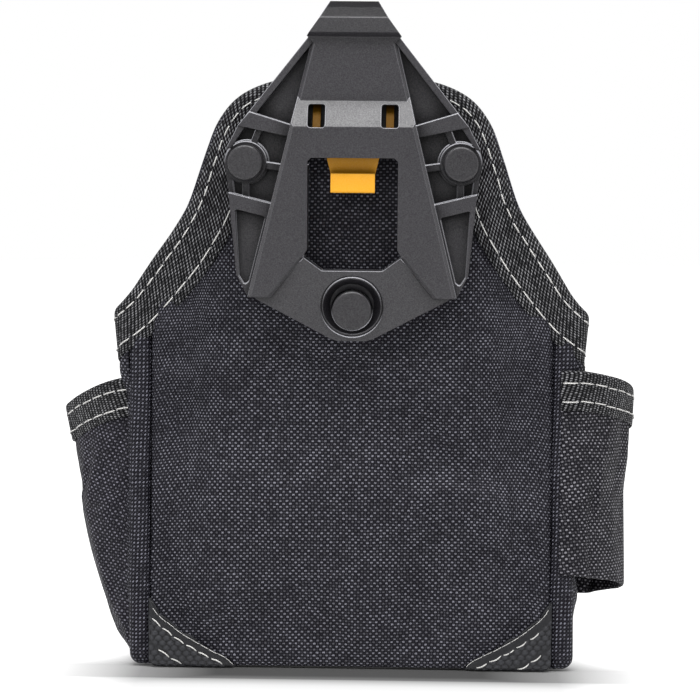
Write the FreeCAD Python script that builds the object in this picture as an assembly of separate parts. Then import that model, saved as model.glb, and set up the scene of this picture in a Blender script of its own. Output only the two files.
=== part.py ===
import FreeCAD
import Part

# Belt tool pouch for an electrician: a sewn, open-topped bag with side and front pockets, hung from a
# moulded plastic hub that drops over the tongue of a belt clip. Millimetres, +Z up, +X to the right seen
# from the wearer's side, -Y towards the wearer. The origin is the middle of the base, on the ground.

import math
import os

from FreeCAD import Vector

# ---- driving dimensions -------------------------------------------------------------------------------
FABRIC = 1.4  # heavy woven nylon
STIFFENER = 1.6  # plastic sheet inside the back wall and on the floor of the bag
LINING = 1.0
WEBBING = 0.9  # tape folded over every raw edge
WALL = 2.0  # pocket and side walls, two layers of cloth
BASE = 1.6  # floor cloth; every wall stands on it

Y_BACK = -33.0  # outer face of the back wall, where the hub sits
Y_FRONT = 33.0  # outer face of the main compartment's front wall
Y_BACK_INSIDE = Y_BACK + FABRIC + STIFFENER + LINING
PANEL_HALF = 67.7  # flat back panel, half its width
BODY_HALF = 75.0  # body over the side walls, half its width
MOUTH_HALF = 79.0  # flared mouth, half its width

WELT_RADIUS = 3.5  # rolled seam down each back corner
WELT_Y = Y_BACK + 4.4
SIDE_START_Y = WELT_Y + WELT_RADIUS + 0.1

WING_BOTTOM = 106.0  # where the flared mouth begins on the back panel
WING_STRAIGHT = 118.0  # top of the wing's upright edge
BACK_BINDING = 15.0  # how far the mouth tape reaches in from the edge
SIDE_TOP_BACK = 122.0  # side wall's top edge at the back
MOUTH_DROP = 12.0  # how much lower the side wall's top edge is at the front
FLARE_HEIGHT = 8.0
POCKET_BINDING = 12.5  # tape width on the pocket mouths

SIDE_POCKET_Y = -3.0  # middle of both side pockets
SIDE_POCKET_HALF = 23.0
SIDE_POCKET_BULGE = 24.0
POCKET_TOP, POCKET_TOP_SLOPE = 86.0, -0.5  # closed pocket's slanting mouth: height at its middle, slope
SLEEVE_REACH = 20.4
SLEEVE_TOP, SLEEVE_TOP_SLOPE = 92.6, -0.28
SLEEVE_BOTTOM, SLEEVE_BOTTOM_SLOPE = 24.5, -0.28
SLEEVE_START = (70.4, -33.3)  # the sleeve starts on the back, over the corner welt

FRONT_POCKET_HALF = 62.0
FRONT_POCKET_DEPTH = 16.0
FRONT_POCKET_CORNER = 14.0
FRONT_POCKET_TOP = 84.0
FRONT_POCKET_FLOOR = 4.0
SLOT_COUNT = 4
SLOT_PITCH = 24.0
SLOT_BULGE = 8.0
SLOT_TOP = 58.0
SLOT_FLOOR = 10.0
SLOT_WALL = 1.5

# The hub is drawn by height z and by depth w, measured outwards from the back panel.
PLATE = 2.0  # hub's back plate
SHELL = 2.4  # moulded wall
HUB_FLOOR = 4.5  # sunken floors beside the raised middle
RIM = 9.0
BOSS_X, BOSS_Z = 35.6, 171.5
BOSS_RADIUS, BOSS_TOP = 6.9, 8.0
SIDE_HEAD_RADIUS, SIDE_HEAD_HEIGHT = 5.8, 4.4
LOWER_Z = 122.8
LOWER_HEAD_RADIUS, LOWER_HEAD_HEIGHT = 6.5, 6.6
DISH_Z, DISH_RADIUS, DISH_DEPTH, SEAT_RADIUS, SEAT_FLOOR = 124.0, 9.6, 2.3, 6.9, 5.4
GROOVE_RADIUS, GROOVE = 10.4, 0.5
SHANK_RADIUS = 2.0
SHANK_CLEARANCE = 0.1
WASHER_RADIUS, WASHER = 5.5, 1.4
CLINCH_RADIUS, CLINCH = 3.2, 0.8

PIVOT_Z, PIVOT_W = 200.0, 4.6
PIN_RADIUS, PIN_HALF = 1.25, 16.2
PIN_CLEARANCE = 0.05
PIN_SEAT_CLEARANCE = 0.02
BARREL_RADIUS = 2.3
LATCH_HALF = 13.4
PRONG_WIDTH = 2.6
TAB_HALF = 7.3
WIRE_RADIUS = 0.35
COIL_RADIUS = 1.95
COIL_HALF = 4.0
COIL_PITCH = 0.8

SLOT_X, SLOT_Z = 12.1, 187.0
SLOT_HALF_WIDTH, SLOT_HALF_HEIGHT = 2.85, 3.8

FAR = 400.0  # longer than the whole object, for cutting


# ---- helpers ------------------------------------------------------------------------------------------
def face_xz(points):
    """Flat face in the XZ plane through a closed list of (x, z)."""
    corners = [Vector(x, 0, z) for x, z in points]
    return Part.Face(Part.makePolygon(corners + corners[:1]))


def both_sides(right_half):
    """Closes a right-hand outline, listed from top to bottom, with its mirror image."""
    return right_half + [(-x, z) for x, z in reversed(right_half)]


def slab(face, y0, y1):
    """Extrudes a face lying at y = 0 so that it fills y0 to y1."""
    moved = face.copy()
    moved.translate(Vector(0, y0, 0))
    return moved.extrude(Vector(0, y1 - y0, 0))


def hub_prism(points, w0, w1):
    """Prism between two depths out from the back panel."""
    return slab(face_xz(points), Y_BACK - w1, Y_BACK - w0)


def hub_profile(points, x0, x1):
    """Extrudes a closed (z, w) profile from x0 to x1."""
    corners = [Vector(x0, Y_BACK - w, z) for z, w in points]
    return Part.Face(Part.makePolygon(corners + corners[:1])).extrude(Vector(x1 - x0, 0, 0))


def hub_rod(radius, x, z, w0, w1):
    """Round rod pointing straight out from the back panel."""
    return Part.makeCylinder(radius, w1 - w0, Vector(x, Y_BACK - w0, z), Vector(0, -1, 0))


def joined(shapes):
    """Fuses shapes that touch or overlap, and drops the seams between their faces."""
    whole = shapes[0]
    if len(shapes) > 1:
        whole = whole.multiFuse(shapes[1:])
    return whole.removeSplitter()


def mirror_x(shape):
    return shape.mirror(Vector(0, 0, 0), Vector(1, 0, 0))


def softened(shape, size, chosen, method="makeFillet"):
    """Rounds or chamfers the chosen edges together, or one by one where they can't all be done."""
    edges = [e for e in shape.Edges if chosen(e)]
    try:
        whole = getattr(shape, method)(size, edges)
        if whole.isValid() and len(whole.Solids) == 1:
            return whole
    except (Part.OCCError, ValueError):
        pass
    for middle in [e.CenterOfMass for e in edges]:
        near = [e for e in shape.Edges if e.CenterOfMass.distanceToPoint(middle) < 0.01]
        try:
            trial = getattr(shape, method)(size, near)
        except (Part.OCCError, ValueError):
            continue
        if trial.isValid() and len(trial.Solids) == 1:
            shape = trial
    return shape


def half_space(y_middle, z_middle, slope, above):
    """Huge prism above or below a plane that slants along Y."""
    reach = FAR / 2
    low = z_middle - slope * reach
    high = z_middle + slope * reach
    end = FAR if above else -FAR
    points = [(y_middle - reach, low), (y_middle + reach, high), (y_middle + reach, end),
              (y_middle - reach, end)]
    corners = [Vector(-reach, y, z) for y, z in points]
    return Part.Face(Part.makePolygon(corners + corners[:1])).extrude(Vector(FAR, 0, 0))


def export(shape, node):
    shape.exportStep(f"parts/{node}.step")


# ---- back wall ----------------------------------------------------------------------------------------
def ear_curve():
    """Upper edge of the back panel, from wing tip to wing tip over the two rounded ears."""
    right = [(MOUTH_HALF, WING_STRAIGHT), (68.3, 137), (56.2, 156.5), (50.8, 172), (45.6, 185.5),
             (37, 194.8), (22, 200)]
    points = right + [(0, 201.3)] + [(-x, z) for x, z in reversed(right)]
    curve = Part.BSplineCurve()
    curve.interpolate([Vector(x, 0, z) for x, z in points])
    return curve


def inset_ear_curve(distance, samples=36):
    """The ear curve moved inwards, or outwards when the distance is negative."""
    curve = ear_curve()
    first, last = curve.FirstParameter, curve.LastParameter
    points = []
    for i in range(samples + 1):
        at = first + (last - first) * i / samples
        along = curve.tangent(at)[0]
        inwards = Vector(along.z, 0, -along.x)
        if inwards.z > 0:
            inwards = inwards * -1
        points.append(curve.value(at) + inwards * distance)
    moved = Part.BSplineCurve()
    moved.interpolate(points)
    return moved


def ear_edges(distance, bottom):
    """Edges of the moved ear curve with an upright drop at each end, and the two lower end points."""
    top = inset_ear_curve(distance).toShape() if distance else ear_curve().toShape()
    half = MOUTH_HALF - distance
    right_low, left_low = Vector(half, 0, bottom), Vector(-half, 0, bottom)
    start, end = top.valueAt(top.FirstParameter), top.valueAt(top.LastParameter)
    edges = [Part.makeLine(right_low, Vector(half, 0, start.z)), top,
             Part.makeLine(Vector(-half, 0, end.z), left_low)]
    if start.distanceToPoint(Vector(half, 0, start.z)) > 1e-6:
        edges.insert(1, Part.makeLine(Vector(half, 0, start.z), start))
        edges.insert(-1, Part.makeLine(end, Vector(-half, 0, end.z)))
    return edges, right_low, left_low


def panel_face(inset):
    """Outline of the back wall's layers, each a given distance inside the cloth panel."""
    bottom = WING_BOTTOM + inset
    edges, right_low, left_low = ear_edges(inset, bottom)
    half, floor = PANEL_HALF - inset, BASE + inset
    lower = [left_low, Vector(-half, 0, bottom), Vector(-half, 0, floor), Vector(half, 0, floor),
             Vector(half, 0, bottom), right_low]
    rest = Part.makePolygon(lower)
    return Part.Face(Part.Wire(Part.__sortEdges__(edges + rest.Edges)))


def mouth_band():
    """Face covered by the tape on the back panel: from its folded edge to its inner row of stitches."""
    outer, outer_right, outer_left = ear_edges(-WEBBING, WING_BOTTOM)
    inner, inner_right, inner_left = ear_edges(BACK_BINDING, WING_BOTTOM)
    ends = [Part.makeLine(outer_right, inner_right), Part.makeLine(outer_left, inner_left)]
    return Part.Face(Part.Wire(Part.__sortEdges__(outer + inner + ends)))


def shank_holes():
    """Clearance holes for the three rivets, right through the hub and the back wall."""
    radius = SHANK_RADIUS + SHANK_CLEARANCE
    places = [(BOSS_X, BOSS_Z), (-BOSS_X, BOSS_Z), (0, LOWER_Z)]
    return [hub_rod(radius, x, z, -10, 30) for x, z in places]


def back_layer(inset, start, thickness):
    return slab(panel_face(inset), Y_BACK + start,
                Y_BACK + start + thickness).cut(Part.makeCompound(shank_holes()))


def side_wall_path():
    """Sweep of the side wall from back to front, falling towards the front."""
    return Vector(0, Y_FRONT - WALL - Y_BACK_INSIDE, -MOUTH_DROP)


def mouth_binding():
    """Tape along the back panel's ears that turns each corner and runs on along the side wall."""
    across = slab(mouth_band(), Y_BACK - WEBBING, Y_BACK_INSIDE + WEBBING)
    back = across.cut(slab(panel_face(0), Y_BACK, Y_BACK_INSIDE))
    side = side_binding_strip()
    start = Part.makeBox(FAR, FAR, FAR, Vector(-FAR / 2, Y_BACK_INSIDE + WEBBING - FAR, -FAR / 2))
    front = Part.makeBox(FAR, FAR, FAR, Vector(-FAR / 2, Y_FRONT - WALL - WEBBING, -FAR / 2))
    side = side.cut(start).cut(front)
    return joined([back, side, mirror_x(side)]).cut(Part.makeCompound(shank_holes()))


def side_binding_strip():
    """Folded tape over the right side wall's top edge, before its ends are trimmed."""
    top, low = SIDE_TOP_BACK, SIDE_TOP_BACK - BACK_BINDING
    inner, outer = MOUTH_HALF - WALL, MOUTH_HALF
    u_shape = [(outer + WEBBING, low), (outer + WEBBING, top + WEBBING), (inner - WEBBING, top + WEBBING),
               (inner - WEBBING, low), (inner, low), (inner, top), (outer, top), (outer, low)]
    profile = face_xz(u_shape)
    profile.translate(Vector(0, Y_BACK_INSIDE, 0))
    return profile.extrude(side_wall_path())


# ---- body ---------------------------------------------------------------------------------------------
def side_wall():
    """Right side wall: upright below, flared at the mouth, its top edge falling to the front."""
    flare_top = SIDE_TOP_BACK - BACK_BINDING - 0.8
    flare_bottom = flare_top - FLARE_HEIGHT
    outline = [(BODY_HALF, -MOUTH_DROP), (BODY_HALF, flare_bottom), (MOUTH_HALF, flare_top),
               (MOUTH_HALF, SIDE_TOP_BACK), (MOUTH_HALF - WALL, SIDE_TOP_BACK), (MOUTH_HALF - WALL,
                                                                                 flare_top),
               (BODY_HALF - WALL, flare_bottom), (BODY_HALF - WALL, -MOUTH_DROP)]
    profile = face_xz(outline)
    profile.translate(Vector(0, Y_BACK_INSIDE, 0))
    wall = profile.extrude(side_wall_path())
    below = Part.makeBox(FAR, FAR, FAR, Vector(-FAR / 2, -FAR / 2, BASE - FAR))
    beside_welt = Part.makeBox(FAR, FAR, FAR, Vector(-FAR / 2, SIDE_START_Y - FAR, WING_BOTTOM - FAR))
    tape_back = Part.makeBox(FAR, FAR, FAR, Vector(-FAR / 2, Y_BACK_INSIDE + WEBBING - FAR, 0))
    tape_front = Part.makeBox(FAR, FAR, FAR, Vector(-FAR / 2, Y_FRONT - WALL - WEBBING,
                                                    front_tape_low() - 0.5))
    return wall.cut(below).cut(beside_welt).cut(tape_back).cut(tape_front)


def welt():
    """Rolled seam down the right back corner, round at its lower end."""
    low = BASE + WELT_RADIUS + 0.4
    middle = Vector(PANEL_HALF + WELT_RADIUS + 0.05, WELT_Y, low)
    roll = Part.makeCylinder(WELT_RADIUS, WING_BOTTOM - 0.2 - low, middle, Vector(0, 0, 1))
    return joined([roll, Part.makeSphere(WELT_RADIUS, middle)])


def base_panel():
    """Floor cloth, notched where the rolled corner seams come down."""
    floor = Part.makeBox(2 * BODY_HALF, Y_FRONT - Y_BACK, BASE, Vector(-BODY_HALF, Y_BACK, 0))
    notch_width = BODY_HALF - PANEL_HALF
    notch = Part.makeBox(notch_width, SIDE_START_Y - Y_BACK, BASE, Vector(PANEL_HALF, Y_BACK, 0))
    return floor.cut(notch).cut(mirror_x(notch))


def base_board():
    half = BODY_HALF - WALL - 1.0
    start, end = Y_BACK_INSIDE + 1.0, Y_FRONT - WALL - 1.0
    board = Part.makeBox(2 * half, end - start, STIFFENER, Vector(-half, start, BASE))
    notch = Part.makeBox(FAR, SIDE_START_Y + 1 - start, STIFFENER, Vector(PANEL_HALF - 1, start, BASE))
    return board.cut(notch).cut(mirror_x(notch))


def front_top():
    return SIDE_TOP_BACK - MOUTH_DROP


def front_tape_low():
    """Lowest height of the front wall's tape at its ends."""
    return front_top() - BACK_BINDING


def front_dip(shift):
    """Curved upper edge of the front wall, moved up or down."""
    ends, middle = front_top() + shift, front_top() - 6.0 + shift
    return Part.Arc(Vector(-MOUTH_HALF, 0, ends), Vector(0, 0, middle),
                    Vector(MOUTH_HALF, 0, ends)).toShape()


def front_panel():
    flare_top = front_tape_low() - 0.8
    lower = [Vector(MOUTH_HALF, 0, front_top()), Vector(MOUTH_HALF, 0, flare_top),
             Vector(BODY_HALF, 0, flare_top - FLARE_HEIGHT), Vector(BODY_HALF, 0, BASE)]
    loop = lower + [Vector(-p.x, 0, p.z) for p in reversed(lower)]
    edges = [front_dip(0)] + Part.makePolygon(loop).Edges
    return slab(Part.Face(Part.Wire(Part.__sortEdges__(edges))), Y_FRONT - WALL, Y_FRONT)


def front_binding():
    """Tape folded over the front wall's upper edge."""
    top, low = front_dip(WEBBING), front_dip(-BACK_BINDING)
    ends = [Part.makeLine(top.Vertexes[i].Point, low.Vertexes[i].Point) for i in (0, 1)]
    face = Part.Face(Part.Wire(Part.__sortEdges__([top, low] + ends)))
    return slab(face, Y_FRONT - WALL - WEBBING, Y_FRONT + WEBBING).cut(front_panel())


def corner_patches():
    """Tough triangular patches over the back panel's lower corners, their long edge slightly hollow."""
    tall, wide, thick, hollow = 23.5, 29.0, 1.0, 1.6
    top, toe = Vector(PANEL_HALF, 0, tall), Vector(PANEL_HALF - wide, 0, 0)
    middle = Vector(PANEL_HALF - wide / 2 + hollow / 2, 0, tall / 2 - hollow)
    long_edge = Part.Arc(top, middle, toe).toShape()
    square = Part.makePolygon([toe, Vector(PANEL_HALF, 0, 0), top])
    patch = slab(Part.Face(Part.Wire(Part.__sortEdges__([long_edge] + square.Edges))), Y_BACK - thick,
                 Y_BACK)
    return Part.makeCompound([patch, mirror_x(patch)])


# ---- front pockets ------------------------------------------------------------------------------------
def front_pocket_block(grow, low, high):
    """Solid block in the shape of the bellows pocket, grown outwards by a distance."""
    half, deep, corner = FRONT_POCKET_HALF + grow, FRONT_POCKET_DEPTH + grow, FRONT_POCKET_CORNER + grow
    out = Y_FRONT + deep
    k = corner * (1 - math.sqrt(0.5))
    left = Part.Arc(Vector(-half, out - corner, low), Vector(-half + k, out - k, low),
                    Vector(-half + corner, out, low))
    right = Part.Arc(Vector(half - corner, out, low), Vector(half - k, out - k, low),
                     Vector(half, out - corner, low))
    corners = [Vector(-half, Y_FRONT, low), Vector(-half, out - corner, low),
               Vector(-half + corner, out, low),
               Vector(half - corner, out, low), Vector(half, out - corner, low), Vector(half, Y_FRONT, low)]
    straight = [Part.makeLine(corners[a], corners[b]) for a, b in ((0, 1), (2, 3), (4, 5), (5, 0))]
    wire = Part.Wire(Part.__sortEdges__(straight + [left.toShape(), right.toShape()]))
    return Part.Face(wire).extrude(Vector(0, 0, high - low))


def front_pocket():
    outer = front_pocket_block(0, FRONT_POCKET_FLOOR, FRONT_POCKET_TOP)
    return outer.cut(front_pocket_block(-WALL, FRONT_POCKET_FLOOR + WALL, FRONT_POCKET_TOP))


def front_pocket_binding():
    low, high = FRONT_POCKET_TOP - POCKET_BINDING, FRONT_POCKET_TOP + WEBBING
    band = front_pocket_block(WEBBING, low, high).cut(front_pocket_block(-WALL - WEBBING, low, high))
    return behind_front_wall(band.cut(front_pocket()))


def behind_front_wall(shape):
    """Trims a front piece back to the front wall's outer face."""
    return shape.cut(Part.makeBox(FAR, FAR, FAR, Vector(-FAR / 2, Y_FRONT - FAR, -FAR / 2)))


def slot_lobes(grow, low, high):
    """Row of bulging tool slots on the front pocket's flat face, grown outwards by a distance."""
    base_y = Y_FRONT + FRONT_POCKET_DEPTH
    lobes = []
    for i in range(SLOT_COUNT):
        x = (i - (SLOT_COUNT - 1) / 2) * SLOT_PITCH
        half, out = SLOT_PITCH / 2 + 0.4 + grow, base_y + SLOT_BULGE + grow
        ends = [Vector(x - half, base_y, low), Vector(x + half, base_y, low)]
        bow = Part.Arc(ends[0], Vector(x, out, low), ends[1]).toShape()
        wire = Part.Wire([bow, Part.makeLine(ends[1], ends[0])])
        lobes.append(Part.Face(wire).extrude(Vector(0, 0, high - low)))
    return joined(lobes) if grow > -0.4 else Part.makeCompound(lobes)


def slot_pocket():
    outer = slot_lobes(0, SLOT_FLOOR, SLOT_TOP)
    return outer.cut(slot_lobes(-SLOT_WALL, SLOT_FLOOR + SLOT_WALL, SLOT_TOP))


def slot_binding():
    low, high = SLOT_TOP - POCKET_BINDING, SLOT_TOP + WEBBING
    band = slot_lobes(WEBBING, low, high).cut(slot_lobes(-SLOT_WALL - WEBBING, low, high))
    return band.cut(slot_pocket())


# ---- side pockets -------------------------------------------------------------------------------------
def half_oval(bulge, half, z):
    """Closed outline bulging out to the right from the side wall."""
    steps = 8
    points = []
    for i in range(steps + 1):
        turn = math.pi * i / steps
        points.append(Vector(BODY_HALF + bulge * math.sin(turn), SIDE_POCKET_Y - half * math.cos(turn), z))
    bow = Part.BSplineCurve()
    bow.interpolate(points)
    return Part.Wire([bow.toShape(), Part.makeLine(points[-1], points[0])])


def pocket_bulge(z):
    """The closed pocket tapers to almost nothing at its foot."""
    return SIDE_POCKET_BULGE * (max(z, 1.0) / POCKET_TOP) ** 0.5


def tapered_block(grow, low):
    """Solid in the closed side pocket's shape, grown outwards by a distance."""
    heights = [low, 20.0, 45.0, 75.0, 110.0]
    rings = [half_oval(pocket_bulge(z) + grow, SIDE_POCKET_HALF + grow, z) for z in heights]
    return Part.makeLoft(rings, True, False)


def pocket_mouth(shift, above):
    return half_space(SIDE_POCKET_Y, POCKET_TOP + shift, POCKET_TOP_SLOPE, above)


def sleeve_mouth(shift, above):
    return half_space(SIDE_POCKET_Y, SLEEVE_TOP + shift, SLEEVE_TOP_SLOPE, above)


def closed_pocket():
    """The closed pocket, drawn on the right; it is mirrored to the left side."""
    shell = tapered_block(0, 4.0).cut(tapered_block(-WALL, 4.0 + WALL))
    return shell.cut(pocket_mouth(0, True))


def sleeve_curve(grow):
    """Middle line of the sleeve's cloth in plan, moved outwards: over the welt, then round to the side."""
    reach, half = SLEEVE_REACH, SIDE_POCKET_HALF
    points = [SLEEVE_START, (74.6, -33.0), (79.2, -30.4), (84.6, -25.6)]
    for degrees in (50, 70, 90, 110, 130, 150, 165, 180):
        turn = math.radians(degrees)
        points.append((BODY_HALF + 1.2 + reach * math.sin(turn), SIDE_POCKET_Y - half * math.cos(turn)))
    curve = Part.BSplineCurve()
    curve.interpolate([Vector(x, y, 0) for x, y in points])
    moved = []
    for i in range(len(points)):
        at = curve.parameter(Vector(points[i][0], points[i][1], 0))
        along = curve.tangent(at)[0]
        moved.append(curve.value(at) + Vector(along.y, -along.x, 0) * grow)
    side = Part.BSplineCurve()
    side.interpolate(moved)
    return side.toShape(), moved


def sleeve_band(outwards, inwards):
    """Tall band that follows the sleeve's cloth between two distances from its middle line."""
    outer, outer_points = sleeve_curve(outwards)
    inner, inner_points = sleeve_curve(inwards)
    ends = [Part.makeLine(outer_points[i], inner_points[i]) for i in (0, -1)]
    return Part.Face(Part.Wire(Part.__sortEdges__([outer, inner] + ends))).extrude(Vector(0, 0, 130))


def right_sleeve():
    under = half_space(SIDE_POCKET_Y, SLEEVE_BOTTOM, SLEEVE_BOTTOM_SLOPE, False)
    return sleeve_band(WALL / 2, -WALL / 2).cut(sleeve_mouth(0, True)).cut(under)


def pocket_binding(band, wall, mouth):
    """Tape folded over a side pocket's slanting mouth."""
    return band.cut(mouth(WEBBING, True)).cut(mouth(-POCKET_BINDING, False)).cut(wall)


# ---- hub ----------------------------------------------------------------------------------------------
MIDDLE = [(8.0, 224.7), (11.6, 218.7), (15.6, 213.3), (14.0, 211.6), (18.8, 192.0), (20.7, 183.5),
          (34.6, 127.0),
          (27.0, 127.0), (16.0, 140.3)]  # right edge of the hub's raised middle, top to bottom
SURFACE = [(224.7, 8.0), (222.6, 11.2), (219.0, 14.6), (214.4, 12.2), (213.0, 9.5), (192.0, 9.5),
           (183.5, 16.0),
           (127.0, 12.5)]  # (z, w) of its front surface
SILHOUETTE = [(15.1, 212.9), (38.2, 183.6), (42.0, 176.2), (42.6, 171.0), (41.0, 160.4), (38.4, 134.5),
              (34.6, 127.0)]


def raised_middle():
    """Facetted middle of the hub: hooked cap, flat face, sloping band and the two arms."""
    profile = [(SURFACE[0][0], PLATE)] + SURFACE + [(SURFACE[-1][0], PLATE)]
    half = MIDDLE[6][0] + 1
    block = hub_profile(profile, -half, half).common(hub_prism(both_sides(MIDDLE), PLATE, 30))

    def on_front(edge):
        middle = edge.CenterOfMass
        return Y_BACK - middle.y > 8.2 and edge.Length > 3 and middle.z > 126.5

    def long_side(edge):
        upright = abs(edge.tangentAt(edge.FirstParameter).z) > 0.6
        return on_front(edge) and upright and abs(edge.CenterOfMass.x) > 16

    def across(edge):
        return on_front(edge) and abs(edge.tangentAt(edge.FirstParameter).x) > 0.95

    return softened(softened(block, 1.1, long_side, "makeChamfer"), 0.45, across)


def lower_plate():
    """Sloping foot of the hub, with the dish that the lower rivet sits in."""
    edge = [(16.0, 140.3), (27.4, 128.0), (33.0, 127.6), (31.8, 126.2), (7.0, 113.0), (4.9, 112.3)]
    slope = [(141.0, PLATE), (141.0, 13.0), (111.0, 6.0), (111.0, PLATE)]
    plate = hub_profile(slope, -35, 35).common(hub_prism(both_sides(edge), PLATE, 30))

    def upper_rim(e):
        return Y_BACK - e.CenterOfMass.y > 4.0 and e.CenterOfMass.z < 126.5 and e.Length > 3

    plate = softened(plate, 0.6, upper_rim)
    lean = math.atan2(7.0, 30.0)
    outwards = Vector(0, -math.cos(lean), -math.sin(lean))
    middle = Vector(0, Y_BACK - 6.0 - (DISH_Z - 111.0) * math.tan(lean), DISH_Z)
    dish = Part.makeCone(DISH_RADIUS - DISH_DEPTH, DISH_RADIUS + 2, DISH_DEPTH + 2,
                         middle - outwards * DISH_DEPTH, outwards)
    seat = hub_rod(SEAT_RADIUS, 0, LOWER_Z, SEAT_FLOOR, 20)
    ring = hub_rod(GROOVE_RADIUS, 0, DISH_Z, PLATE,
                   20).cut(hub_rod(GROOVE_RADIUS - GROOVE, 0, DISH_Z, 0, 30))
    uncut = [(z, w - GROOVE if w > PLATE else 0) for z, w in slope]
    return plate.cut(dish).cut(seat).cut(ring.cut(hub_profile(uncut, -40, 40)))


def rim_strip():
    """Raised rim along the right outer edge, from the cap down to the rivet boss."""
    outer = [(12.0, 212.9), (15.1, 212.9), (38.2, 183.6), (42.0, 176.2)]
    strip = outer + [(40.3, 176.3), (36.4, 182.4), (13.0, 212.0)]
    return hub_prism(strip, PLATE, RIM)


def side_ribs():
    """Wall that crosses the right side of the hub, and the three spokes that brace the rivet boss."""
    upper = hub_prism([(34.4, 188.2), (20.0, 183.8), (20.6, 180.0), (38.3, 183.6)], PLATE, RIM + 0.5)
    edge = hub_prism([(42.6, 171.0), (41.1, 161.0), (39.4, 161.0), (40.6, 171.0)], PLATE, BOSS_TOP - 1.2)
    spokes = []
    for angle, length in ((112, 13.0), (188, 12.0), (270, 13.5)):
        bar = Part.makeBox(length, RIM - PLATE - 1.4, 2.2, Vector(0, Y_BACK - RIM + 1.4, -1.1))
        bar.rotate(Vector(0, 0, 0), Vector(0, -1, 0), angle)
        bar.translate(Vector(BOSS_X, 0, BOSS_Z))
        spokes.append(bar)
    return [upper, edge] + spokes


def lower_wing():
    """Right side of the hub below the rivet: a sloping slab with a rounded triangular hollow."""
    outline = [(41.1, 161.5), (24.5, 157.4), (31.6, 127.0), (34.6, 127.0), (38.4, 134.5)]
    slope = hub_profile([(165.0, PLATE), (165.0, 10.6), (126.0, 9.6), (126.0, PLATE)], 0, 50)
    slab_right = hub_prism(outline, PLATE, 20).common(slope)
    hollow = hub_prism([(39.0, 156.2), (28.9, 153.7), (34.2, 132.2), (35.6, 130.9), (37.6, 134.0)], PLATE,
                       20)
    hollow = hollow.makeFillet(0.8, [e for e in hollow.Edges if abs(e.tangentAt(e.FirstParameter).y) > 0.9])
    floor = hub_profile([(160.0, 0), (160.0, 5.6), (128.0, 8.2), (128.0, 0)], 0, 50)
    return slab_right.cut(hollow.cut(floor))


def hub_cavity():
    """Pocket behind the hub's face that takes the belt clip's tongue and houses the latch."""
    front = [(210.0, PLATE), (210.0, 9.5 - SHELL), (191.0, 9.5 - SHELL), (182.5, 16.0 - SHELL),
             (171.0, 15.2 - SHELL),
             (171.0, PLATE)]
    inside = [(12.0, 210.0), (16.2, 191.6), (17.9, 183.0), (20.6, 171.0)]
    tongue = hub_profile(front, -25, 25).common(hub_prism(both_sides(inside), PLATE, 30))
    arm = [(17.6, 169.0), (21.4, 169.0), (30.8, 131.0), (27.6, 131.0), (18.6, 142.0), (17.6, 144.0)]
    arm_hollow = hub_prism(arm, PLATE, 12.6 - SHELL)
    return tongue, [arm_hollow, mirror_x(arm_hollow)]


def window_cut():
    """Opening below the latch, through which the belt clip's tongue enters."""
    corner = 1.2
    right = [(14.9 - corner, 173.3), (14.9, 173.3 - corner), (14.9, 143.0), (16.3, 140.6), (10.0, 136.0)]
    return hub_prism(both_sides(right), 0, 30)


def slot_cut(x):
    """Round-cornered inspection slot over one of the latch's prongs."""
    box = Part.makeBox(2 * SLOT_HALF_WIDTH, 12, 2 * SLOT_HALF_HEIGHT,
                       Vector(x - SLOT_HALF_WIDTH, Y_BACK - 18, SLOT_Z - SLOT_HALF_HEIGHT))
    return box.makeFillet(0.9, [e for e in box.Edges if abs(e.tangentAt(e.FirstParameter).y) > 0.9])


def hub_frame():
    side = [hub_prism(SILHOUETTE + [(20.0, 127.0), (12.0, 212.9)], PLATE, HUB_FLOOR), lower_wing()]
    side += [rim_strip()] + side_ribs()
    boss = hub_rod(BOSS_RADIUS, BOSS_X, BOSS_Z, PLATE, BOSS_TOP)
    flange = hub_rod(BOSS_RADIUS + 0.5, BOSS_X - 0.2, BOSS_Z, PLATE, BOSS_TOP - 1.2)
    right = joined(side + [boss, flange])
    frame = joined([raised_middle(), lower_plate(), right, mirror_x(right)])
    tongue, arms = hub_cavity()
    cuts = [tongue, window_cut(), slot_cut(SLOT_X), slot_cut(-SLOT_X)] + arms + shank_holes()
    frame = frame.cut(Part.makeCompound(cuts[:1])).cut(Part.makeCompound(cuts[1:]))
    seat = Part.makeCylinder(PIN_RADIUS + PIN_SEAT_CLEARANCE, 2 * PIN_HALF + 0.1,
                             Vector(-PIN_HALF - 0.05, Y_BACK - PIVOT_W, PIVOT_Z), Vector(1, 0, 0))
    return frame.cut(seat)


def hub_back_plate(tape):
    """Plate behind the frame: closes the latch housing, and is relieved where the mouth tape passes."""
    outline = [(7.0, 222.0), (14.2, 212.0), (36.8, 182.8), (40.6, 175.6), (41.2, 171.0), (39.6, 160.4),
               (37.2, 135.0), (31.4, 127.0), (6.6, 113.8)]
    window = [(16.6, 174.9), (16.6, 142.6), (17.6, 139.6), (10.6, 134.4)]
    plate = hub_prism(both_sides(outline), 0, PLATE).cut(hub_prism(both_sides(window), 0, PLATE))
    return plate.cut(Part.makeCompound(shank_holes())).cut(tape)


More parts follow.
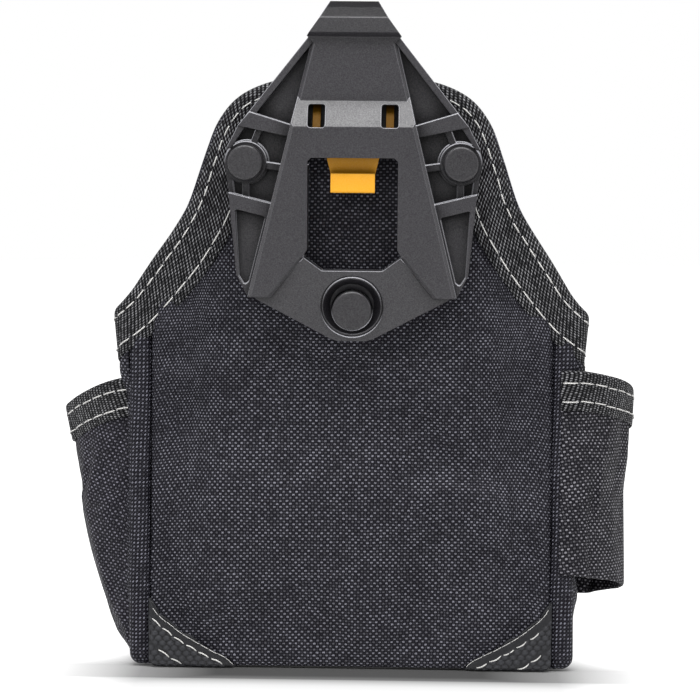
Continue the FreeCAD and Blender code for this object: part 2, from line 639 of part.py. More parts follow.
def release_latch():
    """Sprung lever: two barrels on the pin, two prongs, a crossbar and the finger tab."""
    bore = PIN_RADIUS + PIN_CLEARANCE
    prong = [(PIVOT_Z, 6.5), (191.5, 6.5), (183.0, 12.6), (176.0, 12.8), (176.0, 10.4), (182.0, 10.4),
             (190.5, 4.2),
             (PIVOT_Z, 4.2)]
    arm = [(179.0, 12.6), (173.0, 11.2), (168.4, 9.8), (164.0, 9.8), (164.0, 8.0), (168.4, 7.6),
           (174.0, 8.8),
           (179.0, 10.4)]
    arm_outline = [(-9.0, 180.0), (-8.6, 173.0), (-TAB_HALF, 167.8), (-TAB_HALF, 160.0), (TAB_HALF, 160.0),
                   (TAB_HALF, 167.8), (8.6, 173.0), (9.0, 180.0)]
    finger = [(168.2, 8.2), (168.2, 12.4), (162.2, 12.8), (161.8, 12.4), (161.8, 8.2)]
    inner = LATCH_HALF - PRONG_WIDTH
    pieces = [hub_profile([(180.5, 12.7), (176.0, 12.8), (176.0, 10.4), (180.5, 10.4)], -LATCH_HALF,
                          LATCH_HALF),
              hub_profile(arm, -9.5, 9.5).common(hub_prism(arm_outline, 0, 20)),
              hub_profile(finger, -TAB_HALF, TAB_HALF)]
    for low in (-LATCH_HALF, inner):
        pieces.append(hub_profile(prong, low, low + PRONG_WIDTH))
    for low in (-LATCH_HALF, COIL_HALF + 1.0):
        length = LATCH_HALF - COIL_HALF - 1.0
        pieces.append(Part.makeCylinder(BARREL_RADIUS, length, Vector(low, Y_BACK - PIVOT_W, PIVOT_Z),
                                        Vector(1, 0, 0)))
    hole = Part.makeCylinder(bore, 40, Vector(-20, Y_BACK - PIVOT_W, PIVOT_Z), Vector(1, 0, 0))
    lever = joined(pieces).cut(hole)

    def finger_edges(e):
        return e.CenterOfMass.z < 169.5 and e.Length > 10 and Y_BACK - e.CenterOfMass.y > 7.0

    return softened(lever, 0.35, finger_edges)


def latch_pin():
    pin = Part.makeCylinder(PIN_RADIUS, 2 * PIN_HALF, Vector(-PIN_HALF, Y_BACK - PIVOT_W, PIVOT_Z),
                            Vector(1, 0, 0))
    return pin.makeChamfer(0.2, [e for e in pin.Edges if abs(abs(e.CenterOfMass.x) - PIN_HALF) < 0.01])


def latch_spring():
    """Torsion spring round the pin: one leg pushes the crossbar outwards, the other bears on the plate."""
    helix = Part.makeHelix(COIL_PITCH, 2 * COIL_HALF, COIL_RADIUS)
    ring = Part.Wire(Part.makeCircle(WIRE_RADIUS, Vector(COIL_RADIUS, 0, 0), Vector(0, 1, 0)))
    coil = Part.Wire(helix).makePipeShell([ring], True, True)
    coil.rotate(Vector(0, 0, 0), Vector(0, 1, 0), 90)
    coil.translate(Vector(-COIL_HALF, Y_BACK - PIVOT_W, PIVOT_Z))
    for x, z_end, w_end in ((-COIL_HALF, 178.5, 9.95), (COIL_HALF, 187.0, PLATE + WIRE_RADIUS + 0.05)):
        start = Vector(x, Y_BACK - PIVOT_W, PIVOT_Z - COIL_RADIUS)
        along = Vector(x, Y_BACK - w_end, z_end) - start
        coil = coil.fuse(Part.makeCylinder(WIRE_RADIUS, along.Length, start, along))
    return coil


def inside_face(z):
    """Y of the surface the washers bear on: the mouth tape behind the side rivets, else the lining."""
    return Y_BACK_INSIDE + (0 if z == LOWER_Z else WEBBING)


def rivet(x, z, head_radius, seat, height):
    """Round-headed rivet through the hub and the back wall, clinched over its washer inside the bag."""
    head = hub_rod(head_radius, x, z, seat, seat + height)
    head = head.makeFillet(0.8, [e for e in head.Edges if Y_BACK - e.CenterOfMass.y > seat + height - 0.01])
    inside = Y_BACK - inside_face(z) - WASHER
    shank = hub_rod(SHANK_RADIUS, x, z, inside - CLINCH / 2, seat + 1)
    clinch = hub_rod(CLINCH_RADIUS, x, z, inside - CLINCH, inside)
    return joined([head, shank, clinch])


def side_rivets():
    left_and_right = [rivet(x, BOSS_Z, SIDE_HEAD_RADIUS, BOSS_TOP, SIDE_HEAD_HEIGHT) for x in (-BOSS_X,
                                                                                               BOSS_X)]
    return Part.makeCompound(left_and_right)


def rivet_washers():
    washers = []
    for x, z in ((-BOSS_X, BOSS_Z), (BOSS_X, BOSS_Z), (0, LOWER_Z)):
        start, along = Vector(x, inside_face(z), z), Vector(0, 1, 0)
        disc = Part.makeCylinder(WASHER_RADIUS, WASHER, start, along)
        washers.append(disc.cut(Part.makeCylinder(SHANK_RADIUS + SHANK_CLEARANCE, WASHER, start, along)))
    return Part.makeCompound(washers)


# ---- every sub-part -----------------------------------------------------------------------------------
def build():
    os.makedirs("parts", exist_ok=True)
    right_wall, right_welt, mouth_tape = side_wall(), welt(), mouth_binding()
    sleeve, pocket = right_sleeve(), closed_pocket()
    folded = WALL / 2 + WEBBING
    sleeve_tape = pocket_binding(sleeve_band(folded, -folded), sleeve, sleeve_mouth)
    pocket_band = tapered_block(WEBBING, 4.0).cut(tapered_block(-WALL - WEBBING, 4.0))
    pocket_tape = pocket_binding(pocket_band, pocket, pocket_mouth)
    sleeve, pocket = sleeve.cut(right_wall), pocket.cut(right_wall)
    sleeve_tape, pocket_tape = sleeve_tape.cut(right_wall).cut(right_welt), pocket_tape.cut(right_wall)
    nodes = {
        "back_panel": back_layer(0, 0, FABRIC),
        "back_stiffener": back_layer(4.0, FABRIC, STIFFENER),
        "back_lining": back_layer(0, FABRIC + STIFFENER, LINING),
        "mouth_binding": mouth_tape,
        "side_wall_left": mirror_x(right_wall),
        "side_wall_right": right_wall,
        "corner_welt_left": mirror_x(right_welt),
        "corner_welt_right": right_welt,
        "base_panel": base_panel(),
        "base_board": base_board(),
        "front_panel": front_panel(),
        "front_panel_binding": front_binding(),
        "front_pocket": front_pocket(),
        "front_pocket_binding": front_pocket_binding(),
        "tool_slot_pocket": slot_pocket(),
        "tool_slot_binding": slot_binding(),
        "left_pocket": mirror_x(pocket),
        "left_pocket_binding": mirror_x(pocket_tape),
        "right_sleeve": sleeve,
        "right_sleeve_binding": sleeve_tape,
        "corner_patches": corner_patches(),
        "hub_frame": hub_frame(),
        "hub_back_plate": hub_back_plate(mouth_tape),
        "release_latch": release_latch(),
        "latch_pin": latch_pin(),
        "latch_spring": latch_spring(),
        "side_rivets": side_rivets(),
        "lower_rivet": rivet(0, LOWER_Z, LOWER_HEAD_RADIUS, SEAT_FLOOR, LOWER_HEAD_HEIGHT),
        "rivet_washers": rivet_washers(),
    }
    for node, shape in nodes.items():
        print(node, len(shape.Solids), round(shape.Volume), shape.isValid())
        export(shape, node)


build()
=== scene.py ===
import math

import bpy
import numpy as np
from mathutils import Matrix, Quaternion, Vector


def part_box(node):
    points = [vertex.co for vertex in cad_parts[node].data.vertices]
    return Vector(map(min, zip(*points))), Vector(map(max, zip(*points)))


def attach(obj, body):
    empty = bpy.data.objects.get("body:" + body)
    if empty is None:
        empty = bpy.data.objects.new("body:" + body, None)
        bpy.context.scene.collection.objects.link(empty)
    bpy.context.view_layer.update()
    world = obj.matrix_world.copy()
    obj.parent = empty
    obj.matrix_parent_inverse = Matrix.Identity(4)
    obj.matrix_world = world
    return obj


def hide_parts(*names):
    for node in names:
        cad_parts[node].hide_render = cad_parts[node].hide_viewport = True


# Looks of the tool pouch. Shapes are worked out in millimetres and stored in metres; UVs are in mm.
# -Y faces the wearer and the camera, +X is to the right, +Z up.

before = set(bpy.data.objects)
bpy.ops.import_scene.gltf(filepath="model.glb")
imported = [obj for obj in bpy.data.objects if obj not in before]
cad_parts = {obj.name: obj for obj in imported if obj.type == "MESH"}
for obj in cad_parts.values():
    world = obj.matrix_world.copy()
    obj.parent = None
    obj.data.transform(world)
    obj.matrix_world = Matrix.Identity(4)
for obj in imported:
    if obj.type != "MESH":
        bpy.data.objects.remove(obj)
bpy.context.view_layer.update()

MM = 0.001


def box_mm(node):
    """Lowest and highest corner of a CAD node, to a tenth of a millimetre."""
    return [np.round(np.array(corner) / MM, 1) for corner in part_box(node)]


# Places taken from the CAD.
Y_BACK = box_mm("back_panel")[0][1]              # outer face of the back wall
HUB_LOW, HUB_HIGH = box_mm("hub_frame")
BELLOWS_HIGH = box_mm("front_pocket")[1]
SLOTS_LOW, SLOTS_HIGH = box_mm("tool_slot_pocket")

# The bag's own measures.
Y_LINING = -29.4                                 # face of the lining that looks into the bag
PANEL_HALF = 67.9                                # from the middle to the corner seam
SIDE_X = 78.0                                    # middle of the mouth tape over a side wall
SIDE_Y = -26.0                                   # where the wing has turned on to the side wall
SIDE_SLOPE = 0.19                                # how fast the sides fall towards the front
LEFT_WING = 1.2                                  # how much further out the left wing reaches
WELT_X, WELT_Y, WELT_R = 71.4, -28.9, 3.9        # middle and radius of the rolled corner seams
POCKET_Y, POCKET_HALF = -3.0, 23.0               # middle and half length of the side pockets' mouths
EAR = [(0, 201.3), (22, 200), (37, 194.8), (45.6, 185.5),
       (50.8, 172), (56.2, 156.5), (68.3, 137), (79, 118)]

# Webbing folded over the edges.
MOUTH_LEGS = (17.0, 15.5)                        # outer and inner width
FRONT_LEGS = (16.8, 15.8)
POCKET_LEGS = (12.9, 12.0)
SLEEVE_LEGS = (13.1, 12.0)
TAPE_LIFT = 0.9                                  # how far a fold stands above the cloth's edge
POCKET_SEAMS = (3.7, 9.9)                        # stitch rows, from the fold

rng = np.random.default_rng(7)


# ---- small maths --------------------------------------------------------------------------------------
def unit(v):
    return v / np.maximum(np.linalg.norm(v, axis=-1, keepdims=True), 1e-9)


def spaced(points, count):
    """Points evenly spaced along a polyline."""
    points = np.asarray(points, float)
    lengths = np.concatenate([[0], np.cumsum(np.linalg.norm(np.diff(points, axis=0), axis=1))])
    at = np.linspace(0, lengths[-1], count)
    return np.column_stack([np.interp(at, lengths, points[:, k]) for k in range(points.shape[1])])


def curve_through(points, count):
    """Evenly spaced points on a smooth curve through a few points."""
    p = np.array(points, float)
    p = np.vstack([2 * p[0] - p[1], p, 2 * p[-1] - p[-2]])
    fine = []
    for a, b, c, d in zip(p, p[1:], p[2:], p[3:]):
        for t in np.linspace(0, 1, 24, endpoint=False):
            square = (2 * a - 5 * b + 4 * c - d) * t**2
            cube = (3 * b - a - 3 * c + d) * t**3
            fine.append(0.5 * (2 * b + (c - a) * t + square + cube))
    return spaced(fine + [p[-2]], count)


def rounded(path, sweeps=4):
    """Softens kinks in a row of vectors."""
    for _ in range(sweeps):
        inner = (path[:-2] + 2 * path[1:-1] + path[2:]) / 4
        path = np.vstack([path[:1], inner, path[-1:]])
    return path


def ripple(grid, height, length, seed):
    """Slow waves over a grid of points, for cloth that doesn't lie dead flat."""
    local = np.random.default_rng(seed)
    total = np.zeros(grid.shape[:-1])
    for k in range(6):
        direction = unit(local.normal(size=3))
        phase = local.uniform(0, 2 * math.pi)
        total += np.sin((grid @ direction) * 2 * math.pi / (length * (0.7 + 0.25 * k)) + phase)
    return total * height / 3


# ---- node materials -----------------------------------------------------------------------------------
class Field:
    """A number or a socket in a node tree that takes part in ordinary arithmetic."""

    def __init__(self, tree, socket):
        self.tree = tree
        self.socket = socket

    def math(self, operation, *others, clamp=False):
        node = self.tree.nodes.new("ShaderNodeMath")
        node.operation = operation
        node.use_clamp = clamp
        for socket, x in zip(node.inputs, (self,) + others):
            if isinstance(x, Field):
                self.tree.links.new(x.socket, socket)
            else:
                socket.default_value = x
        return Field(self.tree, node.outputs[0])

    def __add__(self, other):
        return self.math("ADD", other)

    def __sub__(self, other):
        return self.math("SUBTRACT", other)

    def __mul__(self, other):
        return self.math("MULTIPLY", other)

    def __truediv__(self, other):
        return self.math("DIVIDE", other)

    def clamp(self):
        return self.math("ADD", 0.0, clamp=True)

    def floor(self):
        return self.math("FLOOR")

    def wrapped(self):
        return self.math("FRACT")

    def power(self, k):
        return self.math("POWER", k)

    def toward(self, other, amount):
        return self + (other - self) * amount


class Finish:
    """A Principled material while it is being wired up."""

    def __init__(self, name, roughness=0.6, specular=0.4):
        self.material = bpy.data.materials.new(name)
        self.material.use_nodes = True
        self.tree = self.material.node_tree
        self.shader = self.tree.nodes["Principled BSDF"]
        self.shader.inputs["Roughness"].default_value = roughness
        self.shader.inputs["Specular IOR Level"].default_value = specular

    def node(self, kind, **settings):
        node = self.tree.nodes.new(kind)
        for key, value in settings.items():
            setattr(node, key, value)
        return node

    def link(self, source, target):
        self.tree.links.new(source.socket if isinstance(source, Field) else source, target)

    def split(self, vector):
        node = self.node("ShaderNodeSeparateXYZ")
        self.link(vector, node.inputs[0])
        return [Field(self.tree, s) for s in node.outputs]

    def uv(self):
        u, v, _ = self.split(self.node("ShaderNodeTexCoord").outputs["UV"])
        return u, v

    def place(self):
        return self.node("ShaderNodeTexCoord").outputs["Object"]

    def vector(self, *fields):
        node = self.node("ShaderNodeCombineXYZ")
        for field, socket in zip(fields, node.inputs):
            self.link(field, socket)
        return node.outputs[0]

    def noise(self, vector, scale, detail=2.0, roughness=0.5):
        node = self.node("ShaderNodeTexNoise")
        node.inputs["Scale"].default_value = scale
        node.inputs["Detail"].default_value = detail
        node.inputs["Roughness"].default_value = roughness
        self.link(vector, node.inputs["Vector"])
        return Field(self.tree, node.outputs[0])

    def random(self, vector):
        node = self.node("ShaderNodeTexWhiteNoise", noise_dimensions="2D")
        self.link(vector, node.inputs["Vector"])
        return Field(self.tree, node.outputs[0])

    def colour(self, dark, light, amount):
        node = self.node("ShaderNodeMix", data_type="RGBA")
        node.inputs[6].default_value = (*dark, 1)
        node.inputs[7].default_value = (*light, 1)
        self.link(amount, node.inputs[0])
        self.link(node.outputs[2], self.shader.inputs["Base Color"])
        return node.outputs[2]

    def dim(self, colour, amount):
        """Makes the base colour a colour times a field."""
        node = self.node("ShaderNodeVectorMath", operation="SCALE")
        self.link(colour, node.inputs[0])
        self.link(amount, node.inputs["Scale"])
        self.link(node.outputs[0], self.shader.inputs["Base Color"])

    def glow(self, colour, strength):
        self.shader.inputs["Emission Color"].default_value = (*colour, 1)
        self.link(strength, self.shader.inputs["Emission Strength"])

    def bevel(self, radius_mm):
        """Normals that round off sharp edges."""
        node = self.node("ShaderNodeBevel", samples=6)
        node.inputs["Radius"].default_value = radius_mm * MM
        return node.outputs[0]

    def bump(self, height, distance_mm, strength=1.0, normal=None):
        node = self.node("ShaderNodeBump")
        node.inputs["Distance"].default_value = distance_mm * MM
        node.inputs["Strength"].default_value = strength
        self.link(height, node.inputs["Height"])
        if normal is not None:
            self.link(normal, node.inputs["Normal"])
        self.link(node.outputs[0], self.shader.inputs["Normal"])

    def sheen(self, weight, roughness, tint):
        self.shader.inputs["Sheen Weight"].default_value = weight
        self.shader.inputs["Sheen Roughness"].default_value = roughness
        self.shader.inputs["Sheen Tint"].default_value = (*tint, 1)


def woven(name, cell, dark, light, turn=0.0, under=0.14):
    """Heavy filament nylon: fat glossy threads passing over and under each other, no two alike, with a
    painted highlight on their floats.
    """
    made = Finish(name, roughness=0.55, specular=0.25)
    u0, v0 = made.uv()
    u = u0 * math.cos(turn) + v0 * math.sin(turn)
    v = v0 * math.cos(turn) - u0 * math.sin(turn)
    sway = made.noise(made.vector(u0 / 16.0, v0 / 16.0), 1.0, 2)
    a, b = u / cell + sway * 1.6, v / (cell * 0.96) + sway * 1.3
    over = ((a.floor() + b.floor()) / 2.0).wrapped() * 2.0
    ca = ((a.wrapped() - 0.5) * math.pi).math("COSINE")
    cb = ((b.wrapped() - 0.5) * math.pi).math("COSINE")
    weft = ca.power(0.8) * cb.power(3.2)
    warp = ca.power(3.2) * cb.power(1.4)
    height = (ca * cb).power(0.7)
    each = made.random(made.vector(a.floor(), b.floor()))
    wide = made.noise(made.vector(u0 / 9.0, v0 / 9.0), 1.0, 3)
    streak = made.noise(made.vector(u0 / 14.0, v0 / 0.9), 1.0, 2) * 0.7 + 0.65
    # Painted highlight: bright on the weft floats, fainter on the warp floats, varied at random from
    # float to float.
    painted_gleam = (warp * under).toward(weft, over) * (each * 1.4 + 0.3) * (wide * 1.3 + 0.3) * streak
    made.colour(dark, light, painted_gleam.clamp())
    fibres = made.noise(made.vector(u * 7.0, v * 7.0), 1.0, 2)
    made.bump(height * (over * 0.6 + 0.4) + fibres * 0.2, cell * 0.3, 0.8)
    made.link(made.noise(made.place(), 300, 2) * 0.2 + 0.45, made.shader.inputs["Roughness"])
    made.link(height * over * 0.3 + 0.08, made.shader.inputs["Specular IOR Level"])
    return made.material


def webbing():
    """Narrow woven tape: close ribs across it, each a row of small floats with a painted shine."""
    made = Finish("webbing", roughness=0.55, specular=0.25)
    u, v = made.uv()
    sway = made.noise(made.vector(u / 14.0, v / 14.0), 1.0, 2)
    row = u / 1.55 + sway * 0.6
    bead = v / 0.78 + row.floor() * 0.5 + sway * 0.8
    across = ((row.wrapped() - 0.5) * math.pi).math("COSINE")
    along = ((bead.wrapped() - 0.5) * math.pi).math("COSINE")
    each = made.random(made.vector(row.floor(), bead.floor()))
    wide = made.noise(made.vector(u / 11.0, v / 11.0), 1.0, 3)
    # Painted highlight: each float of a rib is bright in its middle, varied at random.
    painted_gleam = across.power(3.6) * along.power(2.4) * (each * 1.6 + 0.2) * (wide * 1.5 + 0.15)
    made.colour((0.003, 0.003, 0.0038), (0.22, 0.22, 0.23), painted_gleam.clamp())
    made.bump(across * (along * 0.4 + 0.6), 0.45, 0.9)
    made.link(across * along * 0.25 + 0.04, made.shader.inputs["Specular IOR Level"])
    return made.material


def thread():
    """Off-white bonded thread, two plies twisted together."""
    made = Finish("thread", roughness=0.55, specular=0.3)
    u, v = made.uv()
    twist = ((u * 1.6 + v) * (2 * math.pi)).math("SINE") * 0.5 + 0.5
    # Painted shade: the colour darkens towards the grooves between the plies.
    made.colour((0.38, 0.375, 0.36), (0.72, 0.71, 0.69), twist)
    made.bump(twist, 0.1, 0.6)
    made.sheen(0.1, 0.4, (0.8, 0.85, 1.0))
    return made.material


def patch_rubber():
    """Tough coated cloth of the corner patches, finely pebbled, with a painted highlight that makes its
    bumps paler.
    """
    made = Finish("patch", roughness=0.5, specular=0.3)
    fine = made.noise(made.place(), 2600, 3)
    wide = made.noise(made.place(), 240, 3)
    raised = made.node("ShaderNodeAttribute", attribute_name="raised")
    top = Field(made.tree, raised.outputs["Fac"])
    # Random mottle, lifted on the raised bumps as a painted highlight.
    mottle_and_highlight = (fine * 0.5 + wide * 0.7) * (top * 0.95 + 0.05)
    made.colour((0.002, 0.002, 0.003), (0.042, 0.043, 0.050), mottle_and_highlight.clamp())
    made.bump(fine + wide * 0.6, 0.12, 0.6)
    return made.material


def sharpness(made, soft):
    """How far the rounded-off normal turns from the real one: 0 on flats, up to 1 on edges."""
    flat = made.node("ShaderNodeNewGeometry")
    dot = made.node("ShaderNodeVectorMath", operation="DOT_PRODUCT")
    made.link(soft, dot.inputs[0])
    made.link(flat.outputs["True Normal"], dot.inputs[1])
    return ((Field(made.tree, dot.outputs["Value"]) * -1.0 + 1.0) * 6.0).clamp()


def painted_shade(made, depth, shade_heights):
    """Painted shade: 1 in the open, down to depth in recesses, and darker by an amount above each given
    height.
    """
    hidden = made.node("ShaderNodeAmbientOcclusion", samples=6)
    hidden.inputs["Distance"].default_value = 6 * MM
    unshaded = Field(made.tree, hidden.outputs["AO"]).power(1.6) * (1.0 - depth) + depth
    for height_mm, amount in shade_heights:
        above = ((made.split(made.place())[2] / MM - height_mm) / 0.8).clamp()
        unshaded = unshaded * (above * -amount + 1.0)
    return unshaded


def moulded(name, dark, light, roughness, grain, edges, depth, painted_glint=0.0, shade_heights=()):
    """Injection-moulded plastic: fine grain, a painted glint glowing on upward-facing edges, painted
    shade in recesses.
    """
    made = Finish(name, roughness=roughness, specular=0.5)
    grainy = made.noise(made.place(), 2300, 2, 0.7)
    cloudy = made.noise(made.place(), 55, 4)
    soft = made.bevel(edges)
    up = (made.split(soft)[2] * 1.2 + 0.06).clamp()
    unshaded = painted_shade(made, depth, shade_heights)
    # Painted shade darkens the colour in recesses and above the given heights.
    made.dim(made.colour(dark, light, (cloudy * 0.8 + grainy * 0.25).clamp()), unshaded)
    # Painted glint: sharp edges that face upwards glow faintly.
    made.glow((0.93, 0.93, 1.0), sharpness(made, soft) * up * painted_glint)
    # The same painted shade lowers the specular level.
    made.link(unshaded * (grainy * 1.1 - 0.05).clamp(), made.shader.inputs["Specular IOR Level"])
    made.bump(grainy + cloudy * 0.4, 0.11, grain, soft)
    uneven = made.noise(made.place(), 160, 3) * 0.14 + (roughness - 0.07)
    made.link(uneven, made.shader.inputs["Roughness"])
    return made.material


def steel():
    """Zinc-plated steel with faint brushing."""
    made = Finish("steel", roughness=0.35)
    made.shader.inputs["Metallic"].default_value = 1.0
    x, y, z = made.split(made.place())
    lines = made.noise(made.vector(x * 4000.0, y * 300.0, z * 4000.0), 1.0, 2)
    made.colour((0.35, 0.35, 0.36), (0.62, 0.62, 0.61), lines)
    made.bump(lines, 0.02, 0.4, made.bevel(0.1))
    return made.material


BODY_CLOTH = woven("body_cloth", 1.04, (0.005, 0.0045, 0.0075), (0.165, 0.165, 0.195))
POCKET_CLOTH = woven("pocket_cloth", 1.06, (0.005, 0.0045, 0.0075), (0.165, 0.16, 0.195), 0.35)
SLEEVE_CLOTH = woven("sleeve_cloth", 1.1, (0.004, 0.0035, 0.006), (0.23, 0.225, 0.25), 0.15)
WELT_CLOTH = woven("welt_cloth", 0.98, (0.004, 0.0035, 0.006), (0.155, 0.155, 0.19), 0.78)
LINING = woven("lining", 0.6, (0.012, 0.012, 0.013), (0.07, 0.07, 0.075), 0.0, 0.5)
WEBBING = webbing()
THREAD = thread()
PATCH = patch_rubber()
CAP_TOP_SHADE = ((HUB_HIGH[2] - 5.7, 0.6),)            # painted shade darkens the cap's top, under the overhead light
HOUSED_SHADE = ((168.3, 0.30), (178, 0.7))             # painted shade darkens the latch's arm and its prongs, inside the hub
HUB = moulded("hub_plastic", (0.020, 0.019, 0.022), (0.028, 0.0265, 0.031), roughness=0.33,
              grain=0.65, edges=0.5, depth=0.22, painted_glint=1.0, shade_heights=CAP_TOP_SHADE)
LATCH = moulded("latch_plastic", (0.68, 0.30, 0.002), (0.74, 0.34, 0.004), roughness=0.5,
                grain=0.3, edges=0.15, depth=0.2, shade_heights=HOUSED_SHADE)
RIVET = moulded("rivet_black", (0.017, 0.016, 0.018), (0.023, 0.022, 0.025), roughness=0.32,
                grain=0.6, edges=0.4, depth=0.4, painted_glint=0.6)
STEEL = steel()


# ---- mesh pieces --------------------------------------------------------------------------------------
def finish_piece(piece, material, nodes=()):
    """Gives a piece its material and body, and hides the CAD nodes it stands for."""
    piece.data.materials.clear()
    piece.data.materials.append(material)
    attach(piece, "pouch")
    if nodes:
        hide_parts(*nodes)
    return piece


def sheet(name, grid, inside=None, facing=None):
    """Cloth through a grid of points, facing away from a point inside or towards a direction."""
    rows, cols = grid.shape[:2]
    index = np.arange(rows * cols).reshape(rows, cols)
    quads = np.stack([index[:-1, :-1], index[:-1, 1:], index[1:, 1:], index[1:, :-1]], -1)
    quads = quads.reshape(-1, 4)
    flat = grid.reshape(-1, 3)
    normal = np.cross(flat[quads[:, 2]] - flat[quads[:, 0]], flat[quads[:, 3]] - flat[quads[:, 1]])
    away = np.array(facing) if facing is not None else flat[quads].mean(axis=1) - np.array(inside)
    if np.sum(normal * away) < 0:
        quads = quads[:, ::-1]
    u = np.zeros((rows, cols))
    v = np.zeros((rows, cols))
    u[:, 1:] = np.cumsum(np.linalg.norm(np.diff(grid, axis=1), axis=2), axis=1)
    v[1:] = np.cumsum(np.linalg.norm(np.diff(grid, axis=0), axis=2), axis=0)
    u -= u[:, [cols // 2]]
    mesh = bpy.data.meshes.new(name)
    mesh.from_pydata((flat * MM).tolist(), [], quads.tolist())
    layer = mesh.uv_layers.new(name="mm")
    both = np.stack([u, v], -1).reshape(-1, 2)[quads.reshape(-1)]
    layer.data.foreach_set("uv", both.reshape(-1))
    mesh.polygons.foreach_set("use_smooth", np.ones(len(quads), bool))
    piece = bpy.data.objects.new(name, mesh)
    bpy.context.scene.collection.objects.link(piece)
    return piece


def settled(piece):
    """Replaces a piece's mesh with what its modifiers make of it."""
    graph = bpy.context.evaluated_depsgraph_get()
    made = bpy.data.meshes.new_from_object(piece.evaluated_get(graph))
    piece.modifiers.clear()
    piece.data = made
    return piece


def billow(piece, held, pressure, cap, frames=16, slack=0.015):
    """Lets cloth billow between its sewn edges, then keeps that shape, within a cap in mm."""
    start = np.empty(len(piece.data.vertices) * 3)
    piece.data.vertices.foreach_get("co", start)
    start = start.reshape(-1, 3)
    group = piece.vertex_groups.new(name="held")
    group.add([int(i) for i in np.flatnonzero(held.reshape(-1))], 1.0, "REPLACE")
    cloth = piece.modifiers.new("cloth", "CLOTH")
    cloth.settings.vertex_group_mass = "held"
    cloth.settings.quality = 6
    cloth.settings.mass = 0.2
    cloth.settings.tension_stiffness = 25
    cloth.settings.compression_stiffness = 25
    cloth.settings.shear_stiffness = 12
    cloth.settings.bending_stiffness = 1.2
    cloth.settings.shrink_min = -slack
    cloth.settings.use_pressure = True
    cloth.settings.uniform_pressure_force = pressure
    cloth.settings.effector_weights.gravity = 0
    cloth.collision_settings.use_collision = False
    cloth.point_cache.frame_end = frames
    for number in range(1, frames + 1):
        bpy.context.scene.frame_set(number)
    graph = bpy.context.evaluated_depsgraph_get()
    reached = piece.evaluated_get(graph).to_mesh()
    moved = np.empty(len(start) * 3)
    reached.vertices.foreach_get("co", moved)
    piece.evaluated_get(graph).to_mesh_clear()
    piece.modifiers.clear()
    bpy.context.scene.frame_set(1)
    shift = moved.reshape(-1, 3) - start
    far = np.linalg.norm(shift, axis=1, keepdims=True)
    kept = start + shift * np.minimum(1, cap * MM / np.maximum(far, 1e-9))
    piece.data.vertices.foreach_set("co", kept.reshape(-1))
    piece.data.update()
    return piece


def sewn(grid, low, top, left=1, right=1):
    """Marks the rows and columns of a grid of cloth that are sewn down."""
    held = np.zeros(grid.shape[:2], bool)
    held[:low] = held[-top:] = True
    held[:, :left] = held[:, -right:] = True
    return held


def thicken(piece, thick, levels=1, offset=-1):
    """Gives a sheet its thickness, inwards or (with offset 0) both ways, and rounds it off."""
    shell = piece.modifiers.new("shell", "SOLIDIFY")
    shell.thickness = thick * MM
    shell.offset = offset
    if levels:
        smooth = piece.modifiers.new("smooth", "SUBSURF")
        smooth.levels = smooth.render_levels = levels
    return settled(piece)


def fold_section(legs, gap, curl):
    """Points (depth from the edge, side) across folded tape, for a half-thickness gap of 1."""
    out = [(d, 1.0 - curl * (d / legs[0]) ** 3) for d in np.linspace(legs[0], gap, 11)]
    half = math.pi / 2
    turn = [(gap - gap * math.cos(a), math.sin(a)) for a in np.linspace(half, -half, 9)[1:-1]]
    back = [(d, -1.0) for d in np.linspace(gap, legs[1], 11)]
    return np.array(out + turn + back)


def edge_frame(path):
    """Direction along an edge and the outward side of it, seen in plan."""
    along = unit(np.gradient(path, axis=0))
    plan = along.copy()
    plan[:, 2] = 0
    plan = rounded(unit(plan), 3)
    return along, plan


def tape(name, path, inward, across, legs, gaps, nodes=(), wave=0.0, seed=1, curl=0.0):
    """Webbing folded over an edge, with its outer leg on the across side."""
    gaps = np.broadcast_to(np.asarray(gaps, float), len(path))
    section = fold_section(legs, float(gaps.mean()), curl)
    grid = (path[:, None] + inward[:, None] * section[None, :, :1]
            + across[:, None] * (section[None, :, 1:] * gaps[:, None, None]))
    if wave:
        grid = grid + across[:, None] * (ripple(grid, wave, 14, seed) * section[None, :, 1])[..., None]
    piece = sheet(name, np.swapaxes(grid, 0, 1), inside=(path + inward * 6).mean(axis=0))
    turn_outwards(piece, path + inward * max(legs) * 0.5)
    thicken(piece, 0.9, offset=0)
    return finish_piece(piece, WEBBING, nodes)


def turn_outwards(piece, core):
    """Flips a folded sheet if its faces look at the line that runs inside the fold."""
    mesh = piece.data
    count = len(mesh.polygons)
    centre, normal = np.empty(count * 3), np.empty(count * 3)
    mesh.polygons.foreach_get("center", centre)
    mesh.polygons.foreach_get("normal", normal)
    centre, normal = centre.reshape(-1, 3), normal.reshape(-1, 3)
    near = np.argmin(np.linalg.norm(centre[:, None] - core[None] * MM, axis=2), axis=1)
    if np.sum(normal * (centre - core[near] * MM)) < 0:
        mesh.flip_normals()


